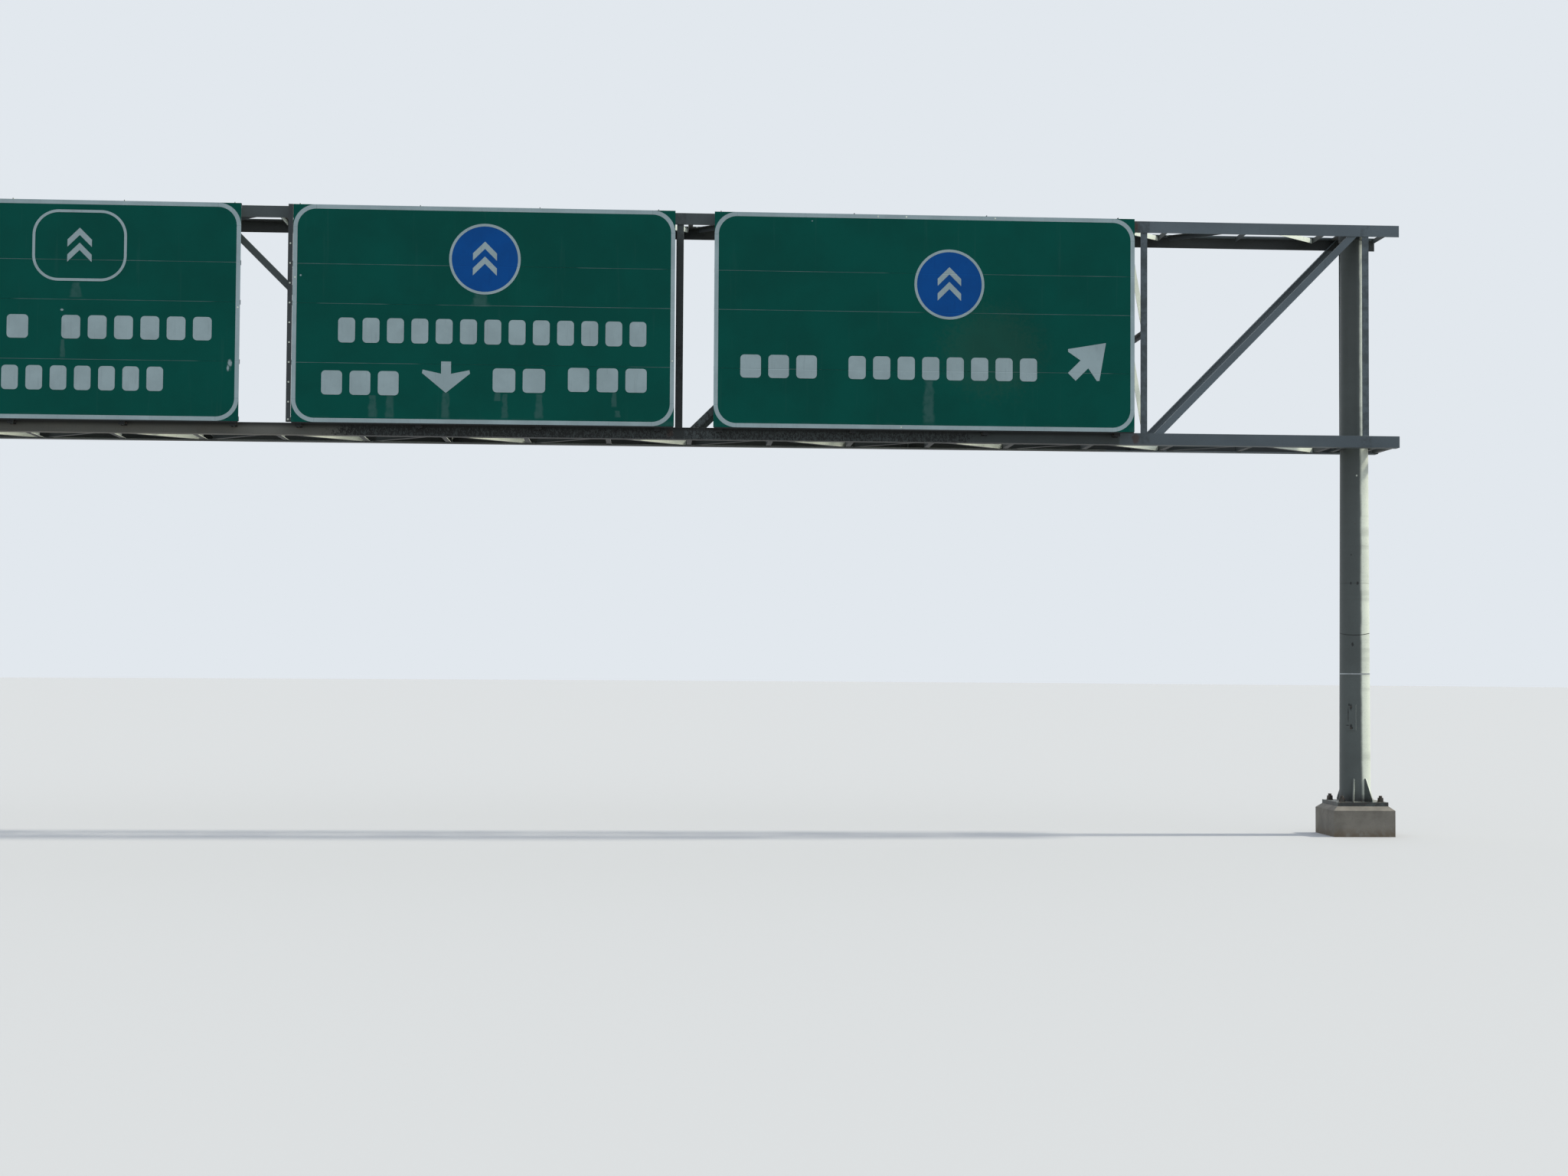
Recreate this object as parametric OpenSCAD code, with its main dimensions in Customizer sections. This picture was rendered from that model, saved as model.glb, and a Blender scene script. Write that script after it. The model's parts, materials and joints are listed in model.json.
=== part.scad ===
// Overhead sign gantry: a box truss of steel angles on two tapered posts, with three large sign panels.
// X runs along the span, Y away from the traffic that reads the signs, Z up. The origin is on the
// ground at mid-span, in the middle of the outline. Sizes are in millimetres.

/* [Span] */
// Distance between the centre lines of the two posts
post_span = 24214; // [23400:1:25400]
// Length of each of the six inner truss bays
bay = 3048; // [2800:1:3200]
// Length of the chords past a post's centre line
chord_overhang = 451; // [400:1:900]
// Height of the bottom chords' underside above the footings
clearance = 4733; // [3600:1:6500]

/* [Truss] */
// Height of the truss over its chords
truss_h = 2950; // [2900:1:3400]
// Width of the truss over its chords
truss_w = 1016; // [960:1:1300]
// Leg of a chord angle
chord_leg = 152; // [140:1:180]
// Thickness of a chord angle
chord_t = 12.7; // [10:0.1:16]
// Leg of a vertical or diagonal angle
web_leg = 89; // [70:1:100]
// Thickness of a vertical or diagonal angle
web_t = 8; // [6:0.5:11]
// Leg of a bracing angle
brace_leg = 64; // [50:1:76]
// Thickness of a bracing angle
brace_t = 6.5; // [5:0.5:9]
// Number of bracing panels between the outer struts
brace_panels = 22; // [18:2:24]
// Distance from a post's centre line to the bracing strut beside it
post_strut = 413; // [380:1:460]
// Distance from a vertical to the foot of its diagonal, at mid-depth of the bottom chord
diag_foot = 130; // [110:1:180]
// Distance from a vertical to the head of its diagonal, at mid-depth of the top chord
diag_head = 100; // [80:1:180]

/* [Signs] */
// Height of the sign panels
sign_h = 2794; // [2600:1:2900]
// Width of the left panel
left_w = 3962; // [3600:1:4200]
// Width of the middle panel
middle_w = 4877; // [4600:1:5000]
// Width of the right panel
right_w = 5486; // [5200:1:5600]
// Place of the left panel's right edge along the span
left_edge = -2556; // [-2700:1:-2500]
// Place of the middle panel's centre along the span
middle_x = 542; // [450:1:600]
// Place of the right panel's centre along the span
right_x = 6231; // [6150:1:6300]
// Distance from the top chord's top down to the top of the panels
sign_drop = 14; // [0:1:60]
// Thickness of a panel sheet
sheet_t = 4; // [3:0.5:8]
// Open joint between two sheets of a panel
sheet_gap = 2; // [1:0.5:4]
// Depth of a stiffener, from the sheets to the beams
stiffener_d = 40; // [30:1:60]
// Height of a stiffener
stiffener_h = 60; // [40:1:80]
// Thickness of a stiffener
stiffener_t = 4; // [3:0.5:6]
// Depth of a sign beam, from the chords to the stiffeners
beam_d = 152; // [120:1:200]
// Flange width of a sign beam
beam_w = 76; // [60:1:100]
// Thickness of a sign beam's web and flanges
beam_t = 6.5; // [5:0.5:10]
// Distance from a panel's edge to its nearer outer beam
beam_edge = 82; // [60:1:120]
// Distance from the middle and right panels' right edges to their last beams
beam_far_edge = 217; // [120:1:260]
// Spacing of the left panel's three right-hand beams
left_beam_pitch = 1391; // [1300:1:1400]
// Distance from a panel's top down to the tops of its beams
beam_short = 4; // [2:1:30]
// Length of a sign beam below its panel's bottom
beam_drop = 55; // [30:1:90]
// Width of the steel bar along the middle panel's left edge
edge_bar_w = 60; // [40:1:70]
// Thickness of that bar
edge_bar_t = 8; // [6:1:12]
// Width of the bolt heads on that bar
edge_bolt_d = 24; // [16:1:30]
// Height of those bolt heads
edge_bolt_h = 8; // [5:1:10]
// Spacing of those bolts, counted from the panel's bottom
edge_bolt_pitch = 254; // [200:1:300]
// Height of the lowest of those bolts above the panel's bottom
edge_bolt_low = 30; // [20:1:60]

/* [Posts] */
// Outside diameter of a post at its foot
post_d = 406; // [380:1:440]
// Outside diameter of a post at its head
post_head_d = 346; // [320:1:370]
// Wall thickness of a post
post_wall = 9.5; // [8:0.5:16]
// Width of the cap plate that joins the top chords over a post
cap_plate_w = 380; // [300:1:420]
// Thickness of the cap plate
cap_plate_t = 16; // [10:1:25]
// Outside diameter of the collar between a post and its cap plate
collar_d = 386; // [375:1:420]
// Height of that collar
collar_h = 102; // [80:1:130]
// Height of the saddle channels beside a post
saddle_h = 102; // [90:1:130]
// Flange width of a saddle channel
saddle_w = 48; // [40:1:60]
// Thickness of a saddle channel
saddle_t = 8; // [6:1:12]
// Diameter of the clamp rods that draw the channels onto the post
rod_d = 22; // [16:1:28]
// Running clearance between a clamp rod and its hole, all round
rod_gap = 1; // [0.5:0.5:2]
// Clearance between a post and a saddle channel
saddle_gap = 0.3; // [0.2:0.1:1]

/* [Footings] */
// Side of a base plate
base_plate = 680; // [650:1:720]
// Thickness of a base plate
base_plate_t = 51; // [40:1:60]
// Spacing of the four anchor bolts, both ways
anchor_pitch = 520; // [470:1:530]
// Diameter of an anchor bolt
anchor_d = 44; // [36:1:48]
// Width of an anchor nut across its flats
anchor_nut_af = 70; // [60:1:76]
// Height of an anchor nut with its lock nut
anchor_nut_h = 50; // [40:1:80]
// Length of bolt that stands out of the lock nut
anchor_end = 27; // [10:1:50]
// Diameter of an anchor washer
anchor_washer = 96; // [86:1:110]
// Thickness of an anchor washer
anchor_washer_t = 6; // [4:1:10]
// Radial clearance of a bolt in its plate hole
anchor_gap = 3; // [2:0.5:5]
// Depth to which a bolt is cast into its pedestal
anchor_bed = 250; // [150:1:300]
// Height of a base gusset
gusset_h = 305; // [250:1:400]
// Reach of a base gusset from the post
gusset_w = 158; // [120:1:160]
// Angle of a base gusset from the line through the post square to the truss
gusset_splay = 22; // [12:1:30]
// Thickness of a base gusset
gusset_t = 16; // [12:1:22]
// Height of a gusset's blunt toe, and the width of its blunt tip
gusset_toe = 25; // [15:1:40]
// Side of a concrete pedestal
pedestal = 820; // [780:1:1000]
// Height of a pedestal above the ground
pedestal_h = 400; // [330:1:700]
// Height of the sloping edge around a pedestal's top
wash_h = 55; // [30:1:80]
// Height of the hand hole's centre above the footing
hand_hole_z = 1165; // [900:1:1400]
// Height of the hand hole's cover
hand_hole_h = 340; // [200:1:400]
// Width of the hand hole's cover
hand_hole_w = 130; // [110:1:150]
// Thickness of the hand hole's cover
hand_hole_t = 6; // [4:1:10]

/* [Hidden] */

$fn = 64;
steel = [0.36, 0.42, 0.44];
dark_steel = [0.22, 0.25, 0.27];
sheet_green = [0.02, 0.28, 0.22];
concrete = [0.62, 0.60, 0.56];

// Clearance of a member that isn't fastened from the one beside it
gap = 3;
// How far a cutting shape runs past the face it cuts
past = 1;
// Height and width of a rod's nut as shares of the rod's diameter
nut_h_share = 0.8;
nut_d_share = 1.8;
// Turn of a lock nut from the nut below it, in degrees
lock_turn = 17;
// Places across the span, with the truss centre line moved back so that the outline is centred
truss_y = (beam_d + stiffener_d + max(sheet_t, edge_bar_t + edge_bolt_h)) / 2;
chord_face = truss_w / 2;
web_face = chord_face - chord_t;
// Members between the two sides stop short of the web angles' inner legs
cross_half = web_face - web_leg - gap;
// Levels
chord_bottom = pedestal_h + clearance;
chord_top = chord_bottom + truss_h;
sign_top = chord_top - sign_drop;
sign_bottom = sign_top - sign_h;
// Places along the span
post_x = post_span / 2;
chord_end = post_x + chord_overhang;
inner_bays = 3;
inner_nodes = [for (i = [0:inner_bays]) i * bay];
half_nodes = concat(inner_nodes, [post_x]);
brace_pitch = 2 * (post_x - post_strut) / brace_panels;
// Post
post_base = pedestal_h + base_plate_t;
post_top = chord_top - chord_t - cap_plate_t - collar_h;
post_h = post_top - post_base;
function post_r(z) = (post_d + (post_head_d - post_d) * (z - post_base) / post_h) / 2;
saddle_z = chord_bottom + chord_t;
saddle_x = post_r(saddle_z) + saddle_gap;
rod_y = saddle_x + rod_d / 2 + gap;
gusset_angles = [for (face = [-90, 90], side = [-1, 1]) face + side * gusset_splay];
hand_hole_angle = -122;
// Sheets of a sign, from the top: heights as shares of the panel
sheet_parts = [30, 20, 30, 30];
sheet_unit = sign_h / 110;
function sheet_top(i) = i == 0 ? 0 : sheet_top(i - 1) + sheet_parts[i - 1] * sheet_unit;
sheet_back = chord_face + beam_d + stiffener_d;
edge_bar_space = edge_bar_w + gap;
// The two places nearest the panel's top have no bolt
edge_bolt_count = floor(sign_h / edge_bolt_pitch) - 2;
edge_bolts = concat([edge_bolt_low], [for (i = [1:edge_bolt_count]) i * edge_bolt_pitch]);
// Places of each sign's beams along the span
last_beam = 3;
function beam_place(x, width, i) =
    x - width / 2 + beam_edge + i * (width - beam_edge - beam_far_edge) / last_beam;
left_near_beams = [for (i = [0:last_beam - 1]) left_edge - beam_edge - i * left_beam_pitch];
left_beams = concat(left_near_beams, [left_edge - left_w + beam_edge]);
middle_beams = [for (i = [0:last_beam]) beam_place(middle_x, middle_w, i)];
right_beams = [for (i = [0:last_beam]) beam_place(right_x, right_w, i)];

// A steel angle with its heel on the Z axis, one leg along +X and one along +Y
module angle_bar(len, leg, t) {
    linear_extrude(len) polygon([[0, 0], [leg, 0], [leg, t], [t, t], [t, leg], [0, leg]]);
}

// Moves what stands on the truss centre line to its place
module at_truss() {
    translate([0, truss_y, 0]) children();
}

// The front side as drawn, or its mirror image at the rear
module side(rear) {
    at_truss() mirror([0, rear ? 1 : 0, 0]) children();
}

// The right end as drawn, or its mirror image at the left
module end(left) {
    mirror([left ? 1 : 0, 0, 0]) children();
}

module chord(rear, top) {
    color(steel) side(rear)
        translate([-chord_end, -chord_face, top ? chord_top : chord_bottom])
            mirror([0, 0, top ? 1 : 0])
                rotate([90, 0, 90]) angle_bar(2 * chord_end, chord_leg, chord_t);
}

// A vertical: its wide leg lies on the chords' inner faces, its heel is on the side of the near post
module vertical(x) {
    translate([x + web_leg / 2, -web_face, chord_bottom + chord_t])
        mirror([1, 0, 0]) angle_bar(truss_h - 2 * chord_t, web_leg, web_t);
}

module verticals(rear) {
    color(steel) side(rear) {
        for (x = half_nodes) vertical(x);
        for (i = [1:len(half_nodes) - 1]) mirror([1, 0, 0]) vertical(half_nodes[i]);
    }
}

// A diagonal of the right half: it rises from the foot of vertical x0 to the head of vertical x1
module diagonal(x0, x1) {
    foot_x = x0 + diag_foot;
    head_x = x1 - diag_head;
    rise = truss_h - chord_leg;
    len = norm([head_x - foot_x, rise]);
    beyond = 2 * chord_leg;
    x_from = x0 + web_leg / 2 + gap;
    x_to = x1 - web_leg / 2 - gap;
    intersection() {
        translate([foot_x, -web_face, chord_bottom + chord_leg / 2])
            rotate([0, -atan2(rise, head_x - foot_x), 0])
                translate([-beyond, 0, web_leg / 2]) mirror([0, 0, 1])
                    rotate([90, 0, 90]) angle_bar(len + 2 * beyond, web_leg, web_t);
        translate([x_from, -chord_face, chord_bottom + chord_t])
            cube([x_to - x_from, truss_w / 2, truss_h - 2 * chord_t]);
    }
}

module diagonals(rear) {
    color(steel) side(rear)
        for (left = [false, true], i = [1:len(half_nodes) - 1])
            end(left) diagonal(half_nodes[i - 1], half_nodes[i]);
}

// One lateral strut across the truss, flat leg down, centred on x
module strut(x) {
    translate([x - brace_leg / 2, cross_half, 0])
        rotate([90, 0, 0]) angle_bar(2 * cross_half, brace_leg, brace_t);
}

// One lateral diagonal between the struts at x0 and x1, from front to rear or back
module lateral(x0, x1, back) {
    x_from = x0 + brace_leg / 2 + gap;
    x_to = x1 - brace_leg / 2 - gap;
    run = x_to - x_from - brace_leg;
    tilt = atan2(2 * cross_half, run);
    len = norm([run, 2 * cross_half]);
    intersection() {
        translate([(x0 + x1) / 2, 0, 0]) mirror([0, back ? 1 : 0, 0]) rotate([0, 0, tilt])
            translate([-len / 2 - brace_leg, -brace_leg / 2, 0])
                rotate([90, 0, 90]) angle_bar(len + 2 * brace_leg, brace_leg, brace_t);
        translate([x_from, -cross_half, 0]) cube([x_to - x_from, 2 * cross_half, brace_leg]);
    }
}

// Struts and zigzag diagonals of one level, flat legs at the bottom
module bracing() {
    first = -brace_panels / 2;
    for (i = [0:brace_panels]) strut((first + i) * brace_pitch);
    for (s = [-1, 1]) strut(s * (chord_end - brace_leg / 2 - gap));
    for (i = [0:brace_panels - 1])
        lateral((first + i) * brace_pitch, (first + i + 1) * brace_pitch, i % 2 == 0);
}

module top_bracing() {
    color(dark_steel) at_truss() translate([0, 0, chord_top - chord_t]) mirror([0, 0, 1]) bracing();
}

module bottom_bracing() {
    color(dark_steel) at_truss() translate([0, 0, chord_bottom + chord_t]) bracing();
}

// One bar of a cross frame, from one point to another in the Y-Z plane, flat leg against the plane
module cross_bar(y0, z0, y1, z1) {
    len = norm([y1 - y0, z1 - z0]);
    translate([0, y0, z0]) rotate([atan2(z1 - z0, y1 - y0), 0, 0])
        translate([0, -brace_leg, brace_leg / 2]) mirror([1, 0, 0])
            rotate([-90, 0, 0]) angle_bar(len + 2 * brace_leg, brace_leg, brace_t);
}

// Keeps what lies between the verticals' wide legs and between two levels over the chords' underside
module between_levels(z0, z1) {
    half = web_face - web_t - gap;
    intersection() {
        children();
        translate([-brace_leg, -half, z0]) cube([brace_leg, 2 * half, z1 - z0]);
    }
}

// Cross frame on the inner legs of a pair of verticals: a strut at mid-height and two diagonals
module cross_frame(x) {
    reach = web_face - web_t - gap - brace_leg;
    middle = truss_h / 2;
    strut_edge = brace_leg / 2 + gap;
    low = chord_leg + brace_leg;
    translate([x + web_leg / 2 - web_t, 0, chord_bottom]) {
        between_levels(middle - brace_leg / 2, middle + brace_leg / 2)
            cross_bar(-reach, middle, reach, middle);
        between_levels(middle + strut_edge, truss_h - chord_leg)
            cross_bar(-reach, middle + brace_leg, reach, truss_h - low);
        between_levels(chord_leg, middle - strut_edge)
            cross_bar(-reach, low, reach, middle - brace_leg);
    }
}

module cross_frames() {
    color(dark_steel) at_truss() {
        for (x = inner_nodes) cross_frame(x);
        for (i = [1:inner_bays]) mirror([1, 0, 0]) cross_frame(inner_nodes[i]);
    }
}

module at_post(left) {
    end(left) translate([post_x, truss_y, 0]) children();
}

module post(left) {
    color(steel) at_post(left) translate([0, 0, post_base]) difference() {
        cylinder(h = post_h, d1 = post_d, d2 = post_head_d);
        translate([0, 0, -past])
            cylinder(h = post_h + 2 * past, d1 = post_d - 2 * post_wall, d2 = post_head_d - 2 * post_wall);
    }
}

// Plate under the flat legs of both top chords
module cap_plate(left) {
    color(steel) at_post(left) translate([-cap_plate_w / 2, -cross_half, post_top + collar_h])
        cube([cap_plate_w, 2 * cross_half, cap_plate_t]);
}

// Thick ring on the post's open end
module post_collar(left) {
    color(steel) at_post(left) translate([0, 0, post_top]) difference() {
        cylinder(h = collar_h, d = collar_d);
        translate([0, 0, -past]) cylinder(h = collar_h + 2 * past, d = post_head_d - 2 * post_wall);
    }
}

// Two channels across the bottom chords, one on each side of the post, with holes for the rods
module saddle_channels(left) {
    color(dark_steel) at_post(left) for (s = [0, 1]) mirror([s, 0, 0]) difference() {
        translate([saddle_x, cross_half, saddle_z]) rotate([90, 0, 0]) linear_extrude(2 * cross_half)
            difference() {
                square([saddle_w, saddle_h]);
                translate([saddle_t, saddle_t]) square([saddle_w, saddle_h - 2 * saddle_t]);
            }
        for (y = [-rod_y, rod_y]) translate([saddle_x - past, y, saddle_z + saddle_h / 2])
            rotate([0, 90, 0]) cylinder(h = saddle_t + 2 * past, d = rod_d + 2 * rod_gap);
    }
}

// Rods through both channels, with a nut outside each
module clamp_rods(left) {
    nut_h = rod_d * nut_h_share;
    nut_d = rod_d * nut_d_share;
    outside = saddle_x + saddle_t;
    color(dark_steel) at_post(left) for (y = [-rod_y, rod_y])
        translate([0, y, saddle_z + saddle_h / 2]) rotate([0, 90, 0]) {
            translate([0, 0, -outside - nut_h]) cylinder(h = 2 * (outside + nut_h), d = rod_d);
            for (s = [0, 1]) mirror([0, 0, s]) translate([0, 0, outside])
                cylinder(h = nut_h, d = nut_d, $fn = 6);
        }
}

module hand_hole_cover(left) {
    z_from = pedestal_h + hand_hole_z - hand_hole_h / 2;
    color(dark_steel) at_post(left) intersection() {
        difference() {
            translate([0, 0, post_base])
                cylinder(h = post_h, d1 = post_d + 2 * hand_hole_t, d2 = post_head_d + 2 * hand_hole_t);
            translate([0, 0, post_base]) cylinder(h = post_h, d1 = post_d, d2 = post_head_d);
        }
        rotate([0, 0, hand_hole_angle]) translate([0, -hand_hole_w / 2, z_from])
            cube([post_d, hand_hole_w, hand_hole_h]);
    }
}

module anchor_places() {
    for (x = [-1, 1], y = [-1, 1]) translate([x * anchor_pitch / 2, y * anchor_pitch / 2, 0]) children();
}

module base_plate(left) {
    color(steel) at_post(left) translate([0, 0, pedestal_h]) difference() {
        translate([-base_plate / 2, -base_plate / 2, 0]) cube([base_plate, base_plate, base_plate_t]);
        anchor_places() translate([0, 0, -past])
            cylinder(h = base_plate_t + 2 * past, d = anchor_d + 2 * anchor_gap);
    }
}

module base_gussets(left) {
    inner = post_head_d / 2 - post_wall;
    outer = post_d / 2 + gusset_w;
    color(steel) at_post(left) translate([0, 0, post_base]) difference() {
        for (a = gusset_angles) rotate([0, 0, a]) translate([0, gusset_t / 2, 0])
            rotate([90, 0, 0]) linear_extrude(gusset_t)
                polygon([[inner, 0], [outer, 0], [outer, gusset_toe],
                         [post_d / 2 + gusset_toe, gusset_h], [inner, gusset_h]]);
        cylinder(h = post_h, d1 = post_d, d2 = post_head_d);
    }
}

// Bolts cast into the pedestal, each with a washer, a nut and a lock nut on the base plate
module anchor_bolts(left) {
    bolt_h = anchor_bed + base_plate_t + anchor_washer_t + anchor_nut_h + anchor_end;
    lock_h = anchor_nut_h / 3;
    color(dark_steel) at_post(left) anchor_places() translate([0, 0, pedestal_h]) {
        translate([0, 0, -anchor_bed]) cylinder(h = bolt_h, d = anchor_d);
        translate([0, 0, base_plate_t]) cylinder(h = anchor_washer_t, d = anchor_washer);
        translate([0, 0, base_plate_t + anchor_washer_t])
            cylinder(h = anchor_nut_h - lock_h, d = anchor_nut_af / cos(30), $fn = 6);
        translate([0, 0, base_plate_t + anchor_washer_t + anchor_nut_h - lock_h])
            rotate([0, 0, lock_turn]) cylinder(h = lock_h, d = anchor_nut_af / cos(30), $fn = 6);
    }
}

// One of the two crossing prisms that together make a pedestal with a sloping top edge
module pedestal_prism() {
    half = pedestal / 2;
    seat = base_plate / 2 + past;
    translate([0, half, 0]) rotate([90, 0, 0]) linear_extrude(pedestal)
        polygon([[-half, 0], [half, 0], [half, pedestal_h - wash_h], [seat, pedestal_h],
                 [-seat, pedestal_h], [-half, pedestal_h - wash_h]]);
}

module pedestal(left) {
    color(concrete) at_post(left) difference() {
        intersection() {
            pedestal_prism();
            rotate([0, 0, 90]) pedestal_prism();
        }
        anchor_places() translate([0, 0, pedestal_h - anchor_bed])
            cylinder(h = anchor_bed + past, d = anchor_d);
    }
}

// Four flat sheets, one above the other, that make one panel
module sign_sheets(x, width) {
    color(sheet_green) at_truss() for (i = [0:len(sheet_parts) - 1]) {
        top = i == 0 ? 0 : sheet_gap / 2;
        bottom = i == len(sheet_parts) - 1 ? 0 : sheet_gap / 2;
        height = sheet_parts[i] * sheet_unit;
        translate([x - width / 2, -sheet_back - sheet_t, sign_top - sheet_top(i) - height + bottom])
            cube([width, sheet_t, height - top - bottom]);
    }
}

// Horizontal channels behind the sheets: one at each joint, one at the top and one at the bottom,
// each longer than the panel at its left end by what a bar there needs
module sign_stiffeners(x, width, longer = 0) {
    count = len(sheet_parts);
    color(dark_steel) at_truss() for (i = [0:count]) {
        middle = i == 0 ? stiffener_h / 2 : i == count ? sign_h - stiffener_h / 2 : sheet_top(i);
        translate([x - width / 2 - longer, -sheet_back, sign_top - middle - stiffener_h / 2])
            rotate([90, 0, 90]) linear_extrude(width + longer) difference() {
                square([stiffener_d, stiffener_h]);
                translate([-past, stiffener_t])
                    square([stiffener_d - stiffener_t + past, stiffener_h - 2 * stiffener_t]);
            }
    }
}

// Upright I beams between the stiffeners and the front chords
module sign_beams(places) {
    z_from = sign_bottom - beam_drop;
    height = sign_top - beam_short - z_from;
    color(dark_steel) at_truss() for (x = places)
        translate([x, -chord_face - beam_d, z_from]) linear_extrude(height) {
            translate([-beam_w / 2, 0]) square([beam_w, beam_t]);
            translate([-beam_w / 2, beam_d - beam_t]) square([beam_w, beam_t]);
            translate([-beam_t / 2, beam_t]) square([beam_t, beam_d - 2 * beam_t]);
        }
}

// Flat bar beside the middle panel, on the ends of its lengthened stiffeners, with its bolt heads
module middle_sign_edge_bar() {
    color(dark_steel) at_truss()
        translate([middle_x - middle_w / 2 - edge_bar_space, -sheet_back - edge_bar_t, sign_bottom]) {
            cube([edge_bar_w, edge_bar_t, sign_h]);
            for (z = edge_bolts) translate([edge_bar_w / 2, 0, z])
                rotate([90, 0, 0]) cylinder(h = edge_bolt_h, d = edge_bolt_d, $fn = 6);
        }
}

chord(false, true);  // front_top_chord
chord(true, true);  // rear_top_chord
chord(false, false);  // front_bottom_chord
chord(true, false);  // rear_bottom_chord
verticals(false);  // front_verticals
verticals(true);  // rear_verticals
diagonals(false);  // front_diagonals
diagonals(true);  // rear_diagonals
top_bracing();
bottom_bracing();
cross_frames();
post(true);  // left_post
post(false);  // right_post
cap_plate(true);  // left_cap_plate
cap_plate(false);  // right_cap_plate
post_collar(true);  // left_post_collar
post_collar(false);  // right_post_collar
saddle_channels(true);  // left_saddle_channels
saddle_channels(false);  // right_saddle_channels
clamp_rods(true);  // left_clamp_rods
clamp_rods(false);  // right_clamp_rods
hand_hole_cover(true);  // left_hand_hole_cover
hand_hole_cover(false);  // right_hand_hole_cover
base_plate(true);  // left_base_plate
base_plate(false);  // right_base_plate
base_gussets(true);  // left_base_gussets
base_gussets(false);  // right_base_gussets
anchor_bolts(true);  // left_anchor_bolts
anchor_bolts(false);  // right_anchor_bolts
pedestal(true);  // left_pedestal
pedestal(false);  // right_pedestal
sign_sheets(left_edge - left_w / 2, left_w);  // left_sign_sheets
sign_sheets(middle_x, middle_w);  // middle_sign_sheets
sign_sheets(right_x, right_w);  // right_sign_sheets
sign_stiffeners(left_edge - left_w / 2, left_w);  // left_sign_stiffeners
sign_stiffeners(middle_x, middle_w, edge_bar_space);  // middle_sign_stiffeners
sign_stiffeners(right_x, right_w);  // right_sign_stiffeners
sign_beams(left_beams);  // left_sign_beams
sign_beams(middle_beams);  // middle_sign_beams
sign_beams(right_beams);  // right_sign_beams
middle_sign_edge_bar();
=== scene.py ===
"""Finish of an overhead sign gantry: panel films, paint and weather, welds, bolts and a plain studio."""
import functools
import json
import math
import random

import bpy
from bpy.props import FloatProperty, FloatVectorProperty, PointerProperty
from mathutils import Matrix, Vector


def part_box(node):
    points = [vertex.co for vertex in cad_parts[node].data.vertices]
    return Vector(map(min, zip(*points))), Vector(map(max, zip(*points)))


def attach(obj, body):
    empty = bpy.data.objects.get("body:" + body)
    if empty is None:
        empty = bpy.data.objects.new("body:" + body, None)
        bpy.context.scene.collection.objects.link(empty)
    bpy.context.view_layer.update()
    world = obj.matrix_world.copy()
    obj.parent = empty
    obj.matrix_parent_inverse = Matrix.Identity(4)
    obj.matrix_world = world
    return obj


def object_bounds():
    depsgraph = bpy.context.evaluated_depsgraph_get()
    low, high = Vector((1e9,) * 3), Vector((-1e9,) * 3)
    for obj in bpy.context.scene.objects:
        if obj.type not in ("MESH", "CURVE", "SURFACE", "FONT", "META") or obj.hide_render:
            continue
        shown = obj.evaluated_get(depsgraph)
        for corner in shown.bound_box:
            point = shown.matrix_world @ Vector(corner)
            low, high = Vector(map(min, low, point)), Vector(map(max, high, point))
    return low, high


bl_info = {
    "name": "Sign gantry finish",
    "version": (1, 0, 0),
    "blender": (4, 5, 0),
    "location": "3D View > Sidebar > Gantry",
    "description": "Dresses the packed sign gantry with films, paint, weather, welds, bolts and a studio",
    "category": "Object",
}

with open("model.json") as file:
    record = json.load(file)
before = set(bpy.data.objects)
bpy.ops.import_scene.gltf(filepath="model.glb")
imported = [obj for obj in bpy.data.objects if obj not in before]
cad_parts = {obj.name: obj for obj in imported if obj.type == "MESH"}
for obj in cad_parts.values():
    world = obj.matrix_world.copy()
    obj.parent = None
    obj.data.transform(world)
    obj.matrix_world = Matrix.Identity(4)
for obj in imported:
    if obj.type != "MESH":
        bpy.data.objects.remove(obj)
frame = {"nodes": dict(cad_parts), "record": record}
cad_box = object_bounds()

BODY = "root"
X, Y, Z = 0, 1, 2
ENDS = ("left", "right")
SIGNS = ("left", "middle", "right")
# Width of the sensor that the lens is given for, in millimetres
SENSOR_W = 36.0
# Points closer than this are one point, and lines shorter than that are left out
SAME = 0.00002
SHORT = 0.004
# Farther from the origin than any point of the gantry
FAR = 99.0
# How deep a small part stands in what it sits on, so that no gap shows
SUNK = 0.001
# Faces whose normals have a product above this lie flat to each other, and no edge is read between them
FLAT = 0.9
# Edges that turn by more than this are rounded by the bevel, and stay sharp on smooth pieces
BEVEL_TURN = math.radians(35)
SHARP_TURN = math.radians(38)
# Cast edges are rounded this many times as much as the rolled steel's
CAST_ROUNDING = 6
# Sides of the round forms, and steps of a round corner
SIDES = {"weld": 6, "washer": 16, "thread end": 10, "rivet": 14, "thread": 24, "post": 48, "strap": 64,
         "floor": 96}
STEPS_IN = {"border": 20, "marker": 16, "block": 5}
# Distance of the key lamp from the origin, and the start of the camera's view
LAMP_AWAY = 30
VIEW_START = 0.1
# The corners of a rectangle, anticlockwise as someone who reads the panels sees them: their sides in X and Z,
# and the direction in degrees in which the arc of a round corner starts
CORNERS = ((1, 1, 0), (-1, 1, 90), (-1, -1, 180), (1, -1, 270))

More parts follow.
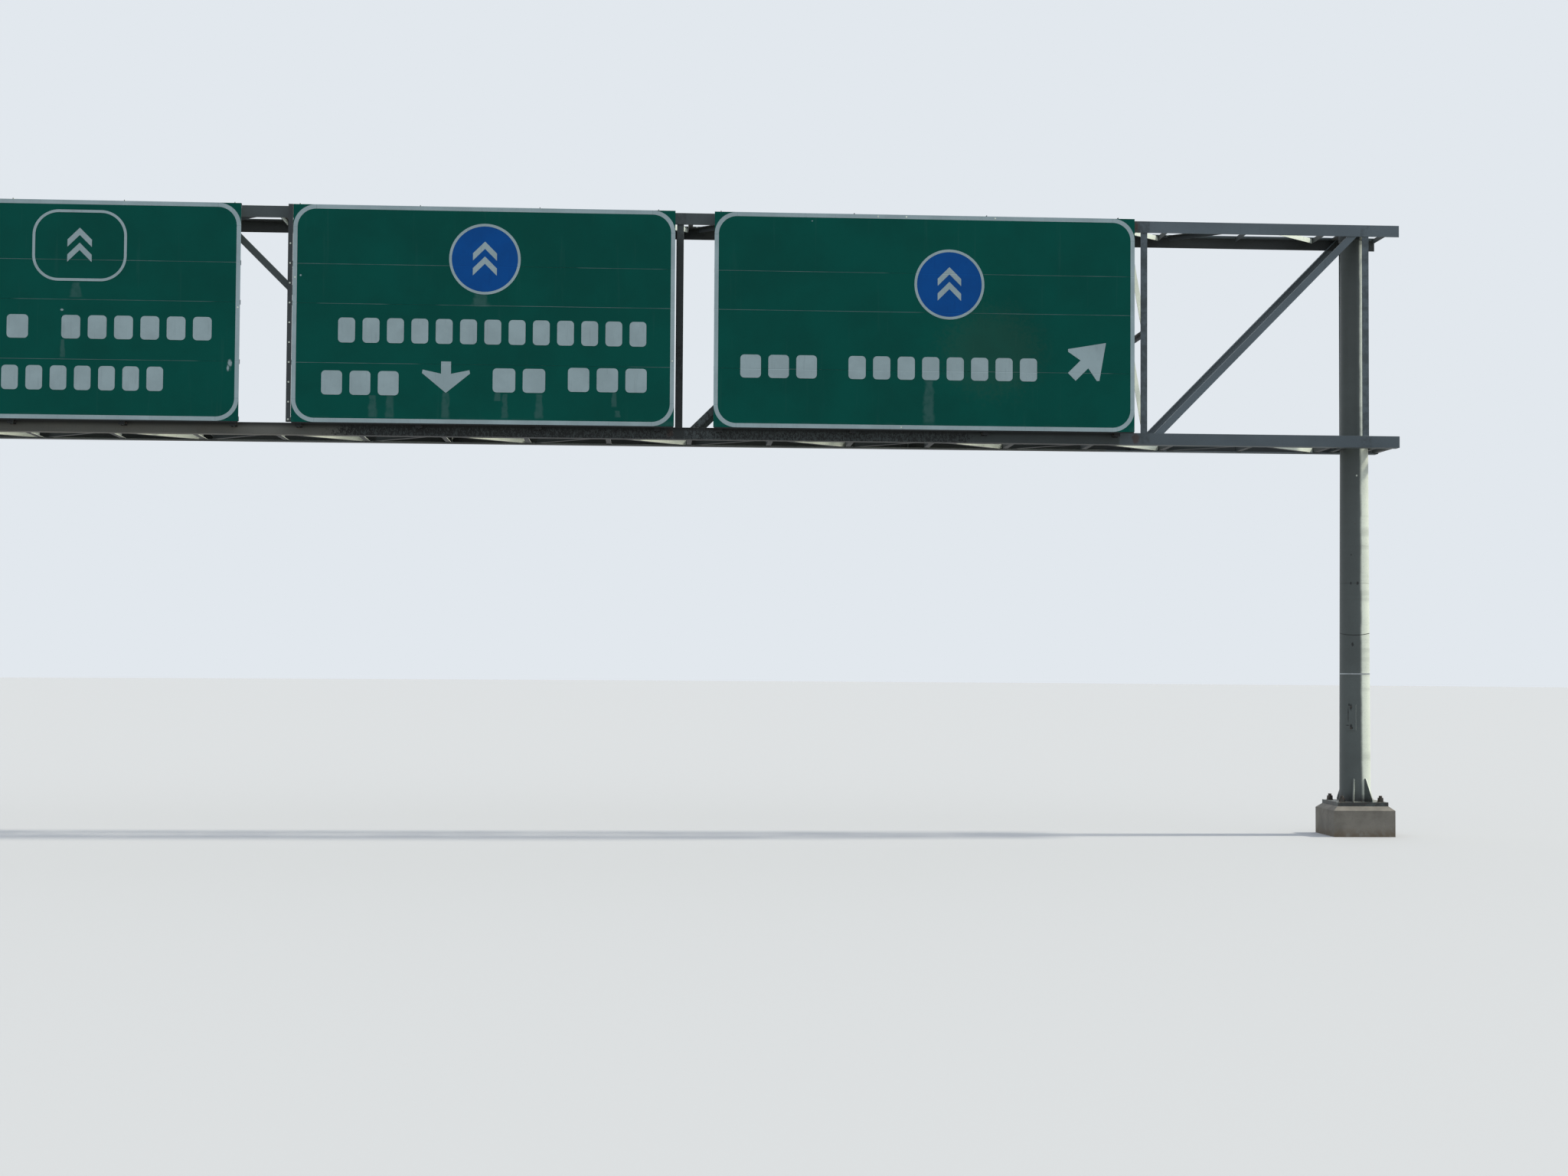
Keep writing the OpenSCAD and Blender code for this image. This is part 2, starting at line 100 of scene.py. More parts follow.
# What each panel carries, in metres: X from the panel's middle and drop from its top.
# words: (x, drop, width, height); drips: (x, drop of the upper end, width, length)
# peels: places where the film has gone, (x, drop, reach across, reach up); rivets: (x, drop)
# seams: the stretches of the joints between the sheets that show, (joint from the top, from x, to x)
PANELS = {
    "left": {
        "marker": {"form": "outline", "x": -0.04, "drop": 0.58, "width": 1.18, "height": 0.91},
        "words": [(-1.16, 1.62, 0.99, 0.30), (0.69, 1.62, 1.88, 0.30), (-0.13, 2.27, 2.32, 0.31)],
        "drips": [(-0.08, 1.05, 0.15, 0.20), (-0.23, 1.78, 0.06, 0.24), (1.85, 2.04, 0.06, 0.12)],
        "peels": [(1.864, 2.05, 0.034, 0.055), (1.84, 2.12, 0.018, 0.05), (-0.25, 1.405, 0.024, 0.016)],
        "rivets": [(1.954, 1.34)],
        "seams": [(0, -1.90, 1.92), (1, -0.77, 1.58), (2, -1.90, 1.40)],
    },
    "middle": {
        "marker": {"form": "disc", "x": 0.00, "drop": 0.67, "width": 0.914, "height": 0.914},
        "words": [(0.11, 1.61, 3.93, 0.32), (-1.57, 2.285, 0.98, 0.31), (0.45, 2.23, 0.67, 0.31),
                  (1.58, 2.21, 1.01, 0.31)],
        "arrow": {"form": "down", "x": -0.48, "drop": 2.40},
        "drips": [(-0.05, 1.12, 0.22, 0.17), (-1.41, 2.44, 0.12, 0.30), (-1.19, 2.44, 0.11, 0.30),
                  (-0.48, 2.39, 0.11, 0.35), (0.18, 2.38, 0.09, 0.12), (0.27, 2.40, 0.09, 0.33),
                  (0.71, 2.40, 0.11, 0.33), (1.67, 2.36, 0.07, 0.20), (1.71, 2.60, 0.09, 0.09)],
        "peels": [(-2.338, 0.915, 0.014, 0.014)],
        "rivets": [(-2.41, 0.94), (2.41, 1.95)],
        "seams": [(0, -2.44, -0.48), (0, 1.26, 2.23), (1, -2.04, -1.30), (1, -0.53, 2.36), (2, -2.35, -0.90),
                  (2, 1.95, 2.42)],
    },
    "right": {
        "marker": {"form": "disc", "x": 0.31, "drop": 0.90, "width": 0.914, "height": 0.914},
        "words": [(-1.905, 2.00, 0.99, 0.30), (0.23, 2.00, 2.46, 0.30)],
        "arrow": {"form": "sunlit_legs", "x": 2.365, "drop": 1.634},
        "drips": [(0.05, 2.15, 0.15, 0.58)],
        "peels": [(-1.48, 0.10, 0.012, 0.010)],
        "rivets": [(-0.622, 0.026), (-0.254, 0.026), (0.907, 0.026), (-0.31, 2.768)],
        "haze": (0.87, 1.77, 0.80, 0.70),
        "seams": [(0, -2.66, -0.57), (0, 0.81, 2.57), (1, -2.66, -0.12), (1, 0.67, 2.62), (2, -1.77, -1.62),
                  (2, 0.77, 1.18), (2, 1.49, 2.38)],
    },
}
# Dark and pale spots on the right post, in metres: offset across the side that the photograph shows, height,
# reach across and up. That side looks this far to the left of the panels' own direction.
POST_SPOTS = [(-0.045, 3.353, 0.017, 0.026), (0.041, 3.353, 0.018, 0.026), (-0.027, 2.540, 0.019, 0.034),
              (-0.040, 3.730, 0.010, 0.016), (-0.049, 1.700, 0.019, 0.055), (-0.072, 1.735, 0.013, 0.020),
              (-0.084, 1.600, 0.007, 0.140), (-0.046, 1.450, 0.020, 0.040), (-0.034, 1.428, 0.020, 0.020),
              (-0.090, 1.462, 0.030, 0.008)]
POST_PALE = [(0.035, 4.789, 0.014, 0.016), (0.150, 5.110, 0.014, 0.016)]
MARK_TURN = math.radians(17.9)
# Heights of the rub line and the seam on that post
RUB_Z = 2.660
SEAM_Z = 3.352
# Half outlines of the two arrows from the tip back: (distance behind the tip, distance from the axis)
ARROWS = {
    "down": {"turn": -90, "half": [(0.252, 0.306), (0.296, 0.297), (0.246, 0.063), (0.404, 0.063)]},
    "sunlit_legs": {"turn": 45, "half": [(0.412, 0.291), (0.437, 0.267), (0.400, 0.072), (0.634, 0.072)]},
}
# The flaked stretch of the front bottom chord, from the middle panel's left edge and from the right panel's
FLAKES_FROM, FLAKES_TO = 0.95, 3.65
# The upright with the dark film, and how far inwards of the second last upright the newer paint starts: on
# the bottom chords, and elsewhere
DARK_UPRIGHT = 5
NEWER_LOW, NEWER_HIGH = 0.33, 0.07

# Corner radius of the outline marker, as a share of its height
OUTLINE_CORNER = 0.36
# The two chevrons in a marker: their unit as a share of its height, then in units the outline of one and
# their shifts up and down
CHEVRON = 0.27
CHEVRON_ARMS = [(0, 0.5), (-0.62, -0.12), (-0.62, -0.5), (0, 0.12), (0.62, -0.5), (0.62, -0.12)]
CHEVRON_RISES = (0.42, -0.36)

# Profile of a rivet's head: share of its radius, and height
RIVET = ((1, 0), (0.92, 0.0014), (0.5, 0.0023))
# A beam's clamp bolts: offset as a share of its width, and heights above the top chord's lower edge
BOLT_SIDE = 0.3
BOLT_LIFTS = (0.04, 0.105)
# How far a stiffener clip reaches over the beam's flange
CLIP_GRIP = 0.018
# Distance of the screws from the ends of a hand hole cover, and the thickness of their washers
SCREW_INSET = 0.028
SCREW_WASHER = 0.002
# Room round an anchor bolt in which only its own points lie
ANCHOR_ROOM = 0.05
# Thread of the anchor bolts: how far below their tops it starts, its pitch, the turns that show, and the
# profile of one turn as (share of the bolt's radius, height in pitches)
THREAD_START = 0.003
THREAD_PITCH = 0.0045
THREAD_TURNS = 5
THREAD = ((0.98, -0.45), (1.045, 0), (0.98, 0.45))
# How far a lug's back edge and its crest stand in front of the beam's back
LUG_BACK = 0.02
LUG_CREST = 0.05
# Gap between the strap and the post, turn of its buckle from the middle of the side that shows, in radians,
# and the buckle's folds and plate as (side, share of its width, height)
STRAP_GAP = 0.0003
BUCKLE_TURN = 0.15
BUCKLE = ((-1, 0.2, 0.0055), (1, 0.2, 0.0055), (0, 1.0, 0.0035))
# Weld beads: seed of their swell, its least and greatest share, and the share at their open ends
BEAD_SEED = 11
BEAD_SWELL = (0.85, 1.15)
BEAD_TIP = 0.35
# Beads round the posts are this much thicker
RING_BEAD = 1.3


def srgb(red, green, blue):
    """A colour written as on a screen, 0 to 255, in the linear values that the shaders take."""
    shares = [v / 255 for v in (red, green, blue)]
    return tuple(v / 12.92 if v <= 0.04045 else ((v + 0.055) / 1.055) ** 2.4 for v in shares)


def length(name, description, default, lowest=0.0, highest=1.0):
    return FloatProperty(name=name, description=description, default=default, min=lowest, max=highest,
                         unit="LENGTH", precision=4)


def colour(name, description, *rgb):
    return FloatVectorProperty(name=name, description=description, default=srgb(*rgb), min=0, max=1,
                               subtype="COLOR", size=3)


def angle(name, description, degrees):
    return FloatProperty(name=name, description=description, default=math.radians(degrees), unit="ROTATION")


def triple(name, description, default, **kind):
    return FloatVectorProperty(name=name, description=description, default=default, size=3, **kind)


def power(name, description, default):
    return FloatProperty(name=name, description=description, default=default, min=0)


class GantryFilm(bpy.types.PropertyGroup):
    """Sizes and colours of the panels' films and raised copy"""
    border_w: length("Border width", "Width of the white border of a panel", 0.054)
    corner_r: length("Corner radius", "Outer radius of the border's corners", 0.292)
    joint: length("Border joint", "Open joint between two lengths of border", 0.0016)
    film_t: length("Film thickness", "Thickness of a border film on its backing", 0.0012)
    copy_t: length("Copy thickness", "Thickness of the raised markers, words and arrows", 0.0035)
    edge_w: length("Marker edge", "Width of a marker's white edge", 0.034)
    block_w: length("Block width", "Width of one block in a row that stands for a word", 0.225)
    block_gap: length("Block gap", "Gap between two blocks", 0.095)
    block_r: length("Block corner", "Corner radius of a block", 0.05)
    rivet_w: length("Rivet width", "Width of the rivets in the borders", 0.022)
    lug_t: length("Lug thickness", "Thickness of the lugs on the beams' tops", 0.010)
    seam_w: length("Seam light", "Width of the bare edge beside a joint of the sheets", 0.0025)
    lip_h: length("Drip edge height", "Height of the strip behind a panel's lower edge", 0.034)
    lip_out: length("Drip edge reach", "How far that strip hangs below the panel", 0.017)
    lip_t: length("Drip edge thickness", "Thickness of that strip", 0.003)
    green: colour("Green", "Colour of the panels' film", 0, 72, 63)
    white: colour("White", "Colour of the border and the copy", 146, 164, 167)
    blue: colour("Blue", "Colour of the filled markers", 4, 70, 136)
    sheet: colour("Sheet", "Colour of the bare aluminium sheets", 152, 158, 160)


class GantrySteel(bpy.types.PropertyGroup):
    """Colours and weather of the painted steel"""
    truss: colour("Truss", "Paint of the truss between the outer bays", 66, 74, 75)
    outer: colour("Outer bays", "Newer paint of the outer bays", 85, 96, 102)
    brace: colour("Bracing", "Paint of the bracing and the sign beams", 52, 58, 60)
    post: colour("Posts", "Paint of the posts", 75, 82, 81)
    # A pale colour: chalked paint, and painted sunlight on faces that look towards the key light; also the
    # colour of the pale spots, bolt heads and rivets
    bleached: colour("Bleached paint and painted sunlight", "Paint that the sun has turned chalky", 204, 212, 199)
    # A dark colour: real dirt round the post feet, and painted shade on faces that look down and on the rear
    # chords' sheltered faces
    soot_and_shade: colour("Soot and painted shade", "Dirt on sheltered faces and round the post feet", 45, 47, 46)
    rust: colour("Rust", "Rust where water runs off the clamps", 66, 39, 26)
    tar: colour("Dark film", "Dark film that is left where the paint has come off", 19, 22, 22)
    dust: colour("Dust", "Road dust on upward faces", 116, 112, 101)
    bolt: colour("Bolts", "Stained zinc of bolts and rods", 68, 66, 62)
    concrete: colour("Concrete", "Colour of the cast pedestals", 112, 109, 101)
    # The key light's side: faces that look towards it get painted sunlight as well as chalked paint
    sun_side: triple("Sun side", "Direction from which the sun has bleached the paint",
                     (0.707, 0.0, 0.707), subtype="DIRECTION")
    bead_r: length("Weld size", "Radius of the weld beads", 0.0055)
    bead_step: length("Weld ripple", "Distance between two ripples of a weld bead", 0.011)
    rounding: length("Edge rounding", "Rounding of the rolled steel's edges", 0.0016)


class GantryHardware(bpy.types.PropertyGroup):
    """Sizes of the fasteners and the post strap"""
    head_w: length("Head width", "Width of a clamp bolt's head across its flats", 0.024)
    head_h: length("Head height", "Height of a clamp bolt's head", 0.010)
    washer_w: length("Washer width", "Width of a clamp bolt's washer", 0.034)
    washer_t: length("Washer thickness", "Thickness of a clamp bolt's washer", 0.003)
    clip_w: length("Clip width", "Width of the clips that hold the stiffeners", 0.040)
    clip_t: length("Clip thickness", "Thickness of those clips", 0.005)
    strap_h: length("Strap height", "Height of the steel strap round the post", 0.016)
    strap_t: length("Strap thickness", "Thickness of that strap", 0.0012)
    strap_z: length("Strap place", "Height of that strap above the ground", 2.145, 0.5, 4.0)
    buckle_w: length("Buckle width", "Width of that strap's buckle", 0.026)
    screw_w: length("Cover screw", "Width of the hand hole cover's screws", 0.020)


class GantryStage(bpy.types.PropertyGroup):
    """Camera, light and floor of the studio"""
    lens: FloatProperty(name="Lens", description="Focal length of the camera", default=50.234, min=10,
                        max=300, unit="CAMERA")
    eye: triple("Eye", "Place of the camera", (2.8003, -28.7025, 2.2243), subtype="TRANSLATION",
                unit="LENGTH")
    yaw: angle("Yaw", "Turn of the camera to the right of +Y", 3.2853)
    pitch: angle("Pitch", "Tilt of the camera above the horizon", 1.9989)
    roll: angle("Roll", "Roll of the camera", -0.3566)
    floor_r: length("Floor radius", "Radius of the round floor", 260.0, 10.0, 900.0)
    floor: colour("Floor", "Colour of the floor as the camera sees it", 168, 170, 171)
    bounce: colour("Floor bounce", "Colour of the light that the floor throws back", 136, 134, 128)
    backdrop: colour("Backdrop", "Colour of the background", 226, 232, 238)
    sky: colour("Sky light", "Colour of the soft light from above", 236, 243, 255)
    sky_power: power("Sky power", "Strength of the soft light", 1.2)
    sun: colour("Key colour", "Colour of the key light", 255, 248, 232)
    sun_power: power("Key power", "Strength of the key light", 3.75)
    sun_turn: angle("Key turn", "Turn of the key light from +X towards +Y", 2)
    sun_height: angle("Key height", "Height of the key light above the floor", 48)
    sun_size: angle("Key size", "Width of the key light, which softens its shadows", 5)


# Reading the frame


@functools.cache
def box(node):
    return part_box(node)


def low(node):
    return box(node)[0]


def high(node):
    return box(node)[1]


def mesh_of(node):
    return frame["nodes"][node].data


def points_of(node):
    return [v.co for v in mesh_of(node).vertices]


def levels(node, axis):
    """The different coordinates that a node's points have along one axis, in order."""
    found = []
    for value in sorted(p[axis] for p in points_of(node)):
        if not found or value - found[-1] > SAME * 10:
            found.append(value)
    return found


def rounded(point):
    return tuple(round(c / SAME) for c in point)


@functools.cache
def solids(node):
    """The solids of a node, each as (lowest corner, highest corner, its sharp edges as pairs of points)."""
    mesh = mesh_of(node)
    points, owner, sides = {}, {}, {}
    for face in mesh.polygons:
        ring = [mesh.vertices[i].co for i in face.vertices]
        keys = [rounded(p) for p in ring]
        points.update(zip(keys, ring))
        for a, b in zip(keys, keys[1:] + keys[:1]):
            join(owner, a, b)
            sides.setdefault(frozenset((a, b)), []).append(face.normal)
    groups = {}
    for key in points:
        groups.setdefault(root_of(owner, key), []).append(key)
    edges = {root: [] for root in groups}
    for pair, normals in sides.items():
        if len(pair) == 2 and min(normals[0].dot(n) for n in normals) < FLAT:
            a, b = pair
            edges[root_of(owner, a)].append((points[a], points[b]))
    found = []
    for root, keys in groups.items():
        corners = [points[k] for k in keys]
        lowest = Vector(min(p[i] for p in corners) for i in range(3))
        highest = Vector(max(p[i] for p in corners) for i in range(3))
        found.append((lowest, highest, edges[root]))
    return sorted(found, key=lambda s: tuple(s[0] + s[1]))


def root_of(owner, key):
    owner.setdefault(key, key)
    while owner[key] != key:
        owner[key] = owner[owner[key]]
        key = owner[key]
    return key


def join(owner, a, b):
    owner[root_of(owner, a)] = root_of(owner, b)


def near(value):
    return value - SAME, value + SAME


def slab(x=None, y=None, z=None):
    """Lowest and highest corner of a box, which reaches far on each axis that isn't given as (low, high)."""
    return [Vector(ends) for ends in zip(*(given or (-FAR, FAR) for given in (x, y, z)))]


def clipped(edges, lowest, highest):
    """The parts of the edges that lie in a box."""
    kept = []
    for a, b in edges:
        t0, t1 = 0.0, 1.0
        for i in range(3):
            run = b[i] - a[i]
            if abs(run) < 1e-9:
                if not lowest[i] - SAME * 10 <= a[i] <= highest[i] + SAME * 10:
                    t1 = -1.0
                continue
            ends = sorted(((lowest[i] - a[i]) / run, (highest[i] - a[i]) / run))
            t0, t1 = max(t0, ends[0]), min(t1, ends[1])
        if t1 > t0 and (b - a).length * (t1 - t0) > SHORT:
            kept.append((a.lerp(b, t0), a.lerp(b, t1)))
    return kept


def panel_place(sign, x, drop):
    """(x, z) of a place on a panel, from its middle and down from its top."""
    lowest, highest = box(f"{sign}_sign_sheets")
    return (lowest.x + highest.x) / 2 + x, highest.z - drop


def nodes_of(slot):
    """The frame's nodes that take their finish from one of the record's material slots."""
    return [part["node"] for part in frame["record"]["subparts"] if part["material_slot"] == slot]


class Post:
    """Axis, foot, head and taper of one post, read from its node"""

    def __init__(self, end):
        lowest, highest = box(f"{end}_post")
        self.axis = Vector(((lowest.x + highest.x) / 2, (lowest.y + highest.y) / 2, 0))
        self.foot, self.head = lowest.z, highest.z
        self.rims = [max(self.reach(p) for p in points_of(f"{end}_post") if abs(p.z - level) < SAME)
                     for level in (self.foot, self.head)]

    def reach(self, point):
        """Distance of a point from the axis."""
        return math.hypot(point.x - self.axis.x, point.y - self.axis.y)

    def radius(self, z):
        t = (z - self.foot) / (self.head - self.foot)
        return self.rims[0] + (self.rims[1] - self.rims[0]) * t

    def ring(self, z, count, out=0.0):
        """Points round the post at a height, some way outside its skin."""
        return [self.axis + Vector(p) for p in circle(self.radius(z) + out, z, count)]


@functools.cache
def post(end):
    return Post(end)


def reach_round(node, centre, level):
    """Radius of the ring of a node's points that stands round a centre at one height."""
    gaps = [math.hypot(p.x - centre.x, p.y - centre.y) for p in points_of(node) if abs(p.z - level) < SAME]
    return max(gap for gap in gaps if gap < ANCHOR_ROOM)


# Making meshes


class Shape:
    """Points and faces of one piece, gathered part by part"""

    def __init__(self):
        self.points = []
        self.faces = []

    def add(self, points, faces):
        base = len(self.points)
        self.points += [tuple(p) for p in points]
        self.faces += [tuple(base + i for i in face) for face in faces]

    def strips(self, rings, closed_path=False):
        """Joins rings of equally many points into one skin, with flat ends."""
        count, size = len(rings), len(rings[0])
        faces = []
        for i in range(count if closed_path else count - 1):
            j = (i + 1) % count
            for k in range(size):
                m = (k + 1) % size
                faces.append((i * size + k, i * size + m, j * size + m, j * size + k))
        if not closed_path:
            faces.append(tuple(reversed(range(size))))
            faces.append(tuple((count - 1) * size + k for k in range(size)))
        self.add([p for ring in rings for p in ring], faces)

    def plate(self, outline, y_front, y_back):
        """A flat plate: its outline holds (x, z), anticlockwise as someone who reads the panel sees it."""
        self.strips([[(x, y, z) for x, z in outline] for y in (y_back, y_front)])

    def ring_plate(self, outer, inner, y_front, y_back):
        """A flat ring between two outlines with equally many points."""
        rings = [[(x, y, z) for x, z in outline]
                 for outline, y in ((outer, y_back), (outer, y_front), (inner, y_front), (inner, y_back))]
        self.strips(rings, closed_path=True)

    def place(self, other, matrix):
        self.add([matrix @ Vector(p) for p in other.points], other.faces)

    def make(self, name, finish, smooth=False):
        """Makes the piece in a material; it rides on the gantry."""
        if not self.faces:
            raise RuntimeError(f"{name} has no faces")
        mesh = bpy.data.meshes.new(name)
        mesh.from_pydata(self.points, [], self.faces)
        mesh.validate()
        if smooth:
            mesh.shade_smooth()
            mesh.set_sharp_from_angle(angle=SHARP_TURN)
        mesh.materials.append(material(finish))
        piece = bpy.data.objects.new(name, mesh)
        bpy.context.scene.collection.objects.link(piece)
        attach(piece, BODY)


def material(name):
    found = bpy.data.materials.get(name)
    if found is None:
        raise RuntimeError(f"the material {name} isn't made yet")
    return found


def arc(x, z, radius, start, stop, steps):
    """Points (x, z) on an arc; angles in degrees from +X towards +Z, as a reader of the panel sees them."""
    turns = [math.radians(start + (stop - start) * i / steps) for i in range(steps + 1)]
    return [(x + radius * math.cos(a), z + radius * math.sin(a)) for a in turns]


def rounded_box(x, z, width, height, radius, steps):
    """Outline of an upright rectangle with round corners, centred on (x, z)."""
    return [point for sx, sz, start in CORNERS
            for point in arc(x + sx * (width / 2 - radius), z + sz * (height / 2 - radius), radius, start,
                             start + 90, steps)]


def box_outline(x, z, width, height):
    return [(x + sx * width / 2, z + sz * height / 2) for sx, sz, _ in CORNERS]


def arrow_outline(form, x, z):
    """Outline of an arrow with its tip at (x, z)."""
    turn, half = math.radians(ARROWS[form]["turn"]), ARROWS[form]["half"]
    outline = [(0.0, 0.0), *((-back, side) for back, side in half)]
    outline += [(-back, -side) for back, side in reversed(half)]
    return [(x + a * math.cos(turn) - b * math.sin(turn), z + a * math.sin(turn) + b * math.cos(turn))
            for a, b in outline]


def circle(radius, z, count):
    turns = [2 * math.pi * i / count for i in range(count)]
    return [(radius * math.cos(turn), radius * math.sin(turn), z) for turn in turns]


def bolt_head(across, height, washer_w, washer_t, end_w=0.0, end_h=0.0):
    """A hexagon head or nut on a washer, along +Z from z = 0, with a chamfered crown and a thread end."""
    shape = Shape()
    shape.strips([circle(washer_w / 2, z, SIDES["washer"]) for z in (0, washer_t)])
    corner, crown, top = across / math.sqrt(3), height * 0.16, washer_t + height
    shape.strips([circle(corner, washer_t, 6), circle(corner, top - crown, 6), circle(corner * 0.86, top, 6)])
    if end_h:
        shape.strips([circle(end_w * share, top + end_h * rise, SIDES["thread end"])
                      for share, rise in ((0.5, 0), (0.5, 0.8), (0.38, 1))])
    return shape


def facing(direction, place):
    """Matrix that stands a part made along +Z on a place, pointing in a direction."""
    turn = Vector(direction).to_track_quat("Z", "Y").to_matrix().to_4x4()
    return Matrix.Translation(place) @ turn


def bead(shape, path, radius, step, dice, closed=False):
    """A weld bead along a path of points, with the ripples that a hand weld leaves."""
    spine = []
    for a, b in zip(path, path[1:] + (path[:1] if closed else [])):
        count = max(1, round((b - a).length / step))
        spine += [a.lerp(b, i / count) for i in range(count)]
    if not closed:
        spine.append(path[-1])
    turns = [2 * math.pi * k / SIDES["weld"] for k in range(SIDES["weld"])]
    rings = []
    for i, point in enumerate(spine):
        before = spine[i - 1] if i or closed else point
        after = spine[(i + 1) % len(spine)] if i + 1 < len(spine) or closed else point
        ahead = (after - before).normalized()
        across = ahead.orthogonal().normalized()
        if abs(ahead.z) < 0.99:
            across = ahead.cross(Vector((0, 0, 1))).normalized()
        other = ahead.cross(across)
        swell = radius * dice.uniform(*BEAD_SWELL)
        if not closed and i in (0, len(spine) - 1):
            swell = radius * BEAD_TIP
        rings.append([point + (across * math.cos(turn) + other * math.sin(turn)) * swell for turn in turns])
    shape.strips(rings, closed_path=closed)


# Building shaders

# Stretch of a noise's values that is spread from its dark to its pale end
EVEN = (0.3, 0.7)


class Tree:
    """Places and links the nodes of one shader tree"""

    def __init__(self, tree):
        self.tree = tree

    def add(self, kind, inputs=None, **settings):
        node = self.tree.nodes.new(kind)
        for name, value in settings.items():
            setattr(node, name, value)
        for name, value in (inputs or {}).items():
            self.feed(node.inputs[name], value)
        return node

    def feed(self, socket, value):
        """Links a socket to another one, or gives it a plain value."""
        if isinstance(value, bpy.types.NodeSocket):
            self.tree.links.new(value, socket)
        elif socket.type == "RGBA":
            socket.default_value = (*value[:3], 1.0)
        elif socket.type == "VECTOR":
            socket.default_value = tuple(value)
        else:
            socket.default_value = value

    def fed(self, node, values):
        """Feeds a node's sockets in order, and gives its first output."""
        for socket, value in zip(node.inputs, values):
            self.feed(socket, value)
        return node.outputs[0]

    def math(self, operation, *values):
        return self.fed(self.add("ShaderNodeMath", operation=operation), values)

    def times(self, *values):
        return functools.reduce(lambda a, b: self.math("MULTIPLY", a, b), values)

    def most(self, *values):
        return functools.reduce(lambda a, b: self.math("MAXIMUM", a, b), values)

    def over(self, base, colour, *masks):
        """A colour laid over a base as far as the product of the masks says."""
        node = self.add("ShaderNodeMix", data_type="RGBA")
        for index, value in ((0, self.times(*masks)), (6, base), (7, colour)):
            self.feed(node.inputs[index], value)
        return node.outputs[2]

    def blend(self, factor, a, b):
        """Mix of two values."""
        node = self.add("ShaderNodeMix", data_type="FLOAT")
        for index, value in ((0, factor), (2, a), (3, b)):
            self.feed(node.inputs[index], value)
        return node.outputs[0]

    def toned(self, colour, shade, amount):
        """A colour that a value from 0 to 1 makes darker or lighter by a share of itself."""
        return self.over(scaled(colour, 1 - amount), scaled(colour, 1 + amount), shade)

    def span(self, value, start, stop, low=0.0, high=1.0):
        """Smooth step of a value: low at start and high at stop."""
        node = self.add("ShaderNodeMapRange", interpolation_type="SMOOTHSTEP")
        return self.fed(node, (value, start, stop, low, high))

    def fall(self, value, start, stop):
        """Smooth step of a value down from 1 at start to 0 at stop."""
        return self.span(value, start, stop, 1.0, 0.0)

    def between(self, value, start, stop, soft):
        """1 between two values, with soft flanks outside them."""
        return self.times(self.span(value, start - soft, start), self.fall(value, stop, stop + soft))

    def noise(self, place, scale, detail=3.0, roughness=0.55):
        return self.add("ShaderNodeTexNoise", {"Vector": place, "Scale": scale, "Detail": detail,
                                               "Roughness": roughness}).outputs[0]

    def stretched(self, place, *scales):
        """Coordinates multiplied on each axis."""
        return self.fed(self.add("ShaderNodeVectorMath", operation="MULTIPLY"), (place, scales))

    def split(self, vector):
        return self.add("ShaderNodeSeparateXYZ", {0: vector}).outputs

    def group(self, tree, **inputs):
        """Places a node group with its own values; the names of its inputs have underscores for spaces."""
        node = self.add("ShaderNodeGroup", node_tree=tree)
        for name, value in inputs.items():
            self.feed(node.inputs[name.replace("_", " ")], value)
        return node.outputs


def scaled(colour, share):
    return tuple(min(1.0, share * c) for c in colour)


def blended(a, b, share):
    return tuple((1 - share) * p + share * q for p, q in zip(a, b))


def shared(name, outputs, **inputs):
    """Turns a function that fills a tree into one that gives its node group, which is built only once.

    outputs are the names of its values. inputs are its plain inputs with their defaults, None for a vector.
    """
    def wrap(build):
        @functools.wraps(build)
        def group():
            known = bpy.data.node_groups.get(name)
            if known:
                return known
            tree = bpy.data.node_groups.new(name, "ShaderNodeTree")
            for label, given in inputs.items():
                socket = tree.interface.new_socket(
                    name=label.replace("_", " "), in_out="INPUT",
                    socket_type="NodeSocketVector" if given is None else "NodeSocketFloat")
                if given is not None:
                    socket.default_value = given
            for label in outputs:
                tree.interface.new_socket(name=label, in_out="OUTPUT", socket_type="NodeSocketFloat")
            inside = Tree(tree)
            entry = inside.add("NodeGroupInput")
            leave = inside.add("NodeGroupOutput")
            for socket, value in zip(leave.inputs, build(inside, entry.outputs)):
                inside.feed(socket, value)
            return tree
        return group
    return wrap


@shared("Mottle", ("Patches", "Grains"), Place=None, Patch=0.5, Grain=0.01)
def mottle_group(t, given):
    """Uneven tone: wide patches and fine grain, both about 0.5."""
    wide = t.math("DIVIDE", 1.0, given["Patch"])
    fine = t.math("DIVIDE", 1.0, given["Grain"])
    return t.noise(given["Place"], wide, 4.0, 0.6), t.noise(given["Place"], fine, 2.0)


@shared("Run marks", ("Streaks",), Place=None, Spacing=0.05, Length=0.8, Cover=0.3)
def streak_group(t, given):
    """Upright run marks: 1 in a streak. Cover is the share of the surface that they take."""
    across = t.math("DIVIDE", 1.0, given["Spacing"])
    along = t.math("DIVIDE", 1.0, given["Length"])
    scales = t.add("ShaderNodeCombineXYZ", {"X": across, "Y": across, "Z": along}).outputs[0]
    squeezed = t.fed(t.add("ShaderNodeVectorMath", operation="MULTIPLY"), (given["Place"], scales))
    start = t.math("SUBTRACT", 0.78, t.math("MULTIPLY", given["Cover"], 0.5))
    return [t.span(t.noise(squeezed, 1.0, 3.0, 0.6), start, t.math("ADD", start, 0.16))]


